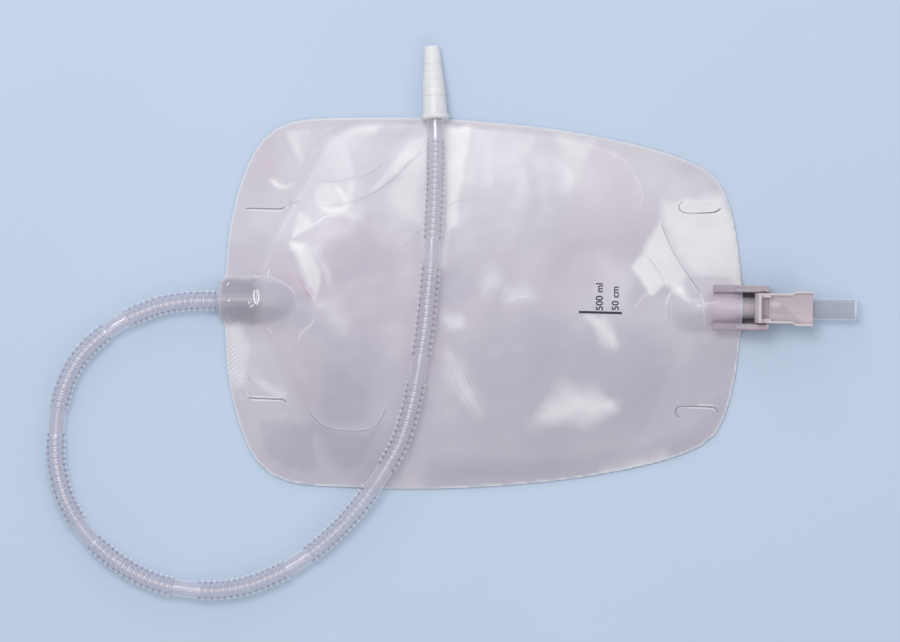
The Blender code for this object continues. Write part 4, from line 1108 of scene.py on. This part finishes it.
def connector_profile():
    """Its outline as (along, radius) in mm: flange, body, groove, four barbs and nose."""
    profile = [(0, 2.5), (0, 5.76), (0.35, 6.43), (0.97, 6.7), (1.73, 6.7), (2.35, 6.43), (2.7, 5.7),
               (10.45, 5.7), (10.6, 5.25), (11.35, 5.25), (11.45, 5.6)]  # fmt: skip
    radii = (5.6, 5.45, 5.03, 4.63, 4.2)
    along = 11.45
    for radius, following in zip(radii, radii[1:]):
        profile += [(along + 0.12, radius), (along + 3.72, following - 0.15)]
        along += 3.78
    return profile + [
        (along + 0.12, 4.2), (along + 8.0, 3.64), (along + 8.4, 3.5), (along + 8.58, 3.2),
        (along + 8.58, CONNECTOR_BORE),
    ]  # fmt: skip


def build_connector(material):
    profile = connector_profile()
    count = 64
    cosines, sines = circle(count)
    vertices = [
        (along * MM, radius * MM * c, radius * MM * s)
        for along, radius in profile
        for c, s in zip(cosines, sines)
    ]
    turn = (CONNECTOR_AIM - CONNECTOR_BASE).normalized().to_track_quat("X", "Z").to_matrix().to_4x4()
    placed = Matrix.Translation(CONNECTOR_BASE) @ turn
    vertices = [placed @ Vector(vertex) for vertex in vertices]
    piece = make_piece(
        "connector_body", vertices, wall_faces(len(profile), count, True), material,
        smooth_angle=30,
    )  # fmt: skip
    round_edges(piece, 0.06 * MM)
    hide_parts("stepped_connector")
    return piece


# Outlet tube


def tube_piece(name, start, end, material, steps=6):
    count = 40
    cosines, sines = circle(count)
    outer, inner = [], []
    for k in range(steps + 1):
        x = start + (end - start) * k / steps
        share = float(smoothstep((x - TUBE_DROOP[0]) / (TUBE_DROOP[1] - TUBE_DROOP[0])))
        up = TUBE_AXIS + share * (TUBE_RADIUS - TUBE_AXIS)
        for rings, radius in ((outer, TUBE_RADIUS), (inner, TUBE_RADIUS - TUBE_WALL)):
            rings.append(np.column_stack([np.full(count, x), radius * cosines, up + radius * sines]))
    rings = outer + inner[::-1]
    piece = make_piece(
        name, np.concatenate(rings), wall_faces(len(rings), count, True), material
    )
    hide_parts("outlet_tube")
    return piece


def build_tube(material, nip_material):
    low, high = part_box("outlet_tube")
    tube_piece("tube_welded", low[0], NIP[0], nip_material)
    width = (NIP[1] - NIP[0]) / len(NIP_KEEPS)
    for k, keep in enumerate(NIP_KEEPS):
        piece = tube_piece(f"tube_nip_{k}", NIP[0] + k * width, NIP[0] + (k + 1) * width, nip_material, 2)
        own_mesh(piece)
    tube_piece("tube_free", NIP[1], high[0], material, 16)


# Scene


def dress(node_name, material, width=None):
    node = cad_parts[node_name]
    node.data.materials.clear()
    node.data.materials.append(material)
    if width:
        joined = node.modifiers.new("joined", "WELD")
        joined.merge_threshold = 0.002 * MM
        round_edges(node, width)


def build_floor():
    bpy.ops.mesh.primitive_plane_add(size=6, location=(0, 0, -0.1 * MM))
    floor = bpy.context.object
    floor.name = "floor"
    surface = Surface("floor_paint", Specular_IOR_Level=0.1, Roughness=0.8)
    surface.feed("Base Color", surface.mix(surface.noise(6, 2), srgb(196, 211, 231), srgb(202, 217, 235)))
    floor.data.materials.append(surface.material)


def build_lights():
    world = bpy.data.worlds.new("studio")
    bpy.context.scene.world = world
    world.use_nodes = True
    background = world.node_tree.nodes["Background"]
    background.inputs["Color"].default_value = srgb(250, 251, 255)
    background.inputs["Strength"].default_value = 0.56
    for name, place, size, power in (
        ("overhead", (-0.3, 0.5, 1.4), 0.7, 8.0),
        ("side", (0.8, -0.8, 1.1), 0.8, 2.0),
        ("low", (-0.3, 1.3, 0.55), 0.5, 2.5),
    ):
        light = bpy.data.lights.new(name, "AREA")
        light.shape = "SQUARE"
        light.size = size
        light.energy = power
        lamp = add_object(name, light)
        lamp.location = place
        lamp.rotation_euler = Vector(place).to_track_quat("Z", "Y").to_euler()


def build_camera():
    data = bpy.data.cameras.new("camera")
    data.sensor_width = SENSOR
    data.lens = SENSOR * (VIEW_HEIGHT - VIEW_LEVEL) / VIEW_WIDTH
    data.clip_start = 0.01
    camera = add_object("camera", data)
    camera.location = (*VIEW_CENTRE, VIEW_HEIGHT)
    camera.rotation_euler = (0, 0, VIEW_ROLL)
    bpy.context.scene.camera = camera


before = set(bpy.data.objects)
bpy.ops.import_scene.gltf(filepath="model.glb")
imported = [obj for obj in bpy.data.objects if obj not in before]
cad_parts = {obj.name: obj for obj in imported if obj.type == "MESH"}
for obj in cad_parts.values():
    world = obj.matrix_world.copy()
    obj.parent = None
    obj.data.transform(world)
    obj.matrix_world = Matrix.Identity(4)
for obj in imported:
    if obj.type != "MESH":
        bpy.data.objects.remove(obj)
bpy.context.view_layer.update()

build_camera()
build_floor()
build_lights()
bpy.context.scene.view_settings.view_transform = "Standard"

film_paint = film_material()
back_paint = sheet_material()
ink = moulded("black_ink", srgb(26, 25, 30), srgb(38, 36, 42), 0.5).material
hose_paint = hose_material()
tube_paint = tube_material("soft_tube", srgb(206, 207, 220), 0.22)
nip_paint = tube_material("soft_tube_nip", srgb(214, 203, 213), 0.72)
white_paint = moulded("connector_plastic", srgb(232, 232, 233), srgb(222, 222, 226), 0.36).material
port_paint = port_material()
tap_paint = frame_material()
lever_paint = lever_material()

front = build_front_film(film_paint)
build_print(front, ink)
hose, hose_path = build_hose(hose_paint)
connector = build_connector(white_paint)
build_tube(tube_paint, nip_paint)
dress("back_film", back_paint)
dress("inlet_port", port_paint)
dress("non_return_valve", port_paint)
dress("tap_frame", tap_paint, 0.25 * MM)
dress("tap_lever", lever_paint, 0.25 * MM)
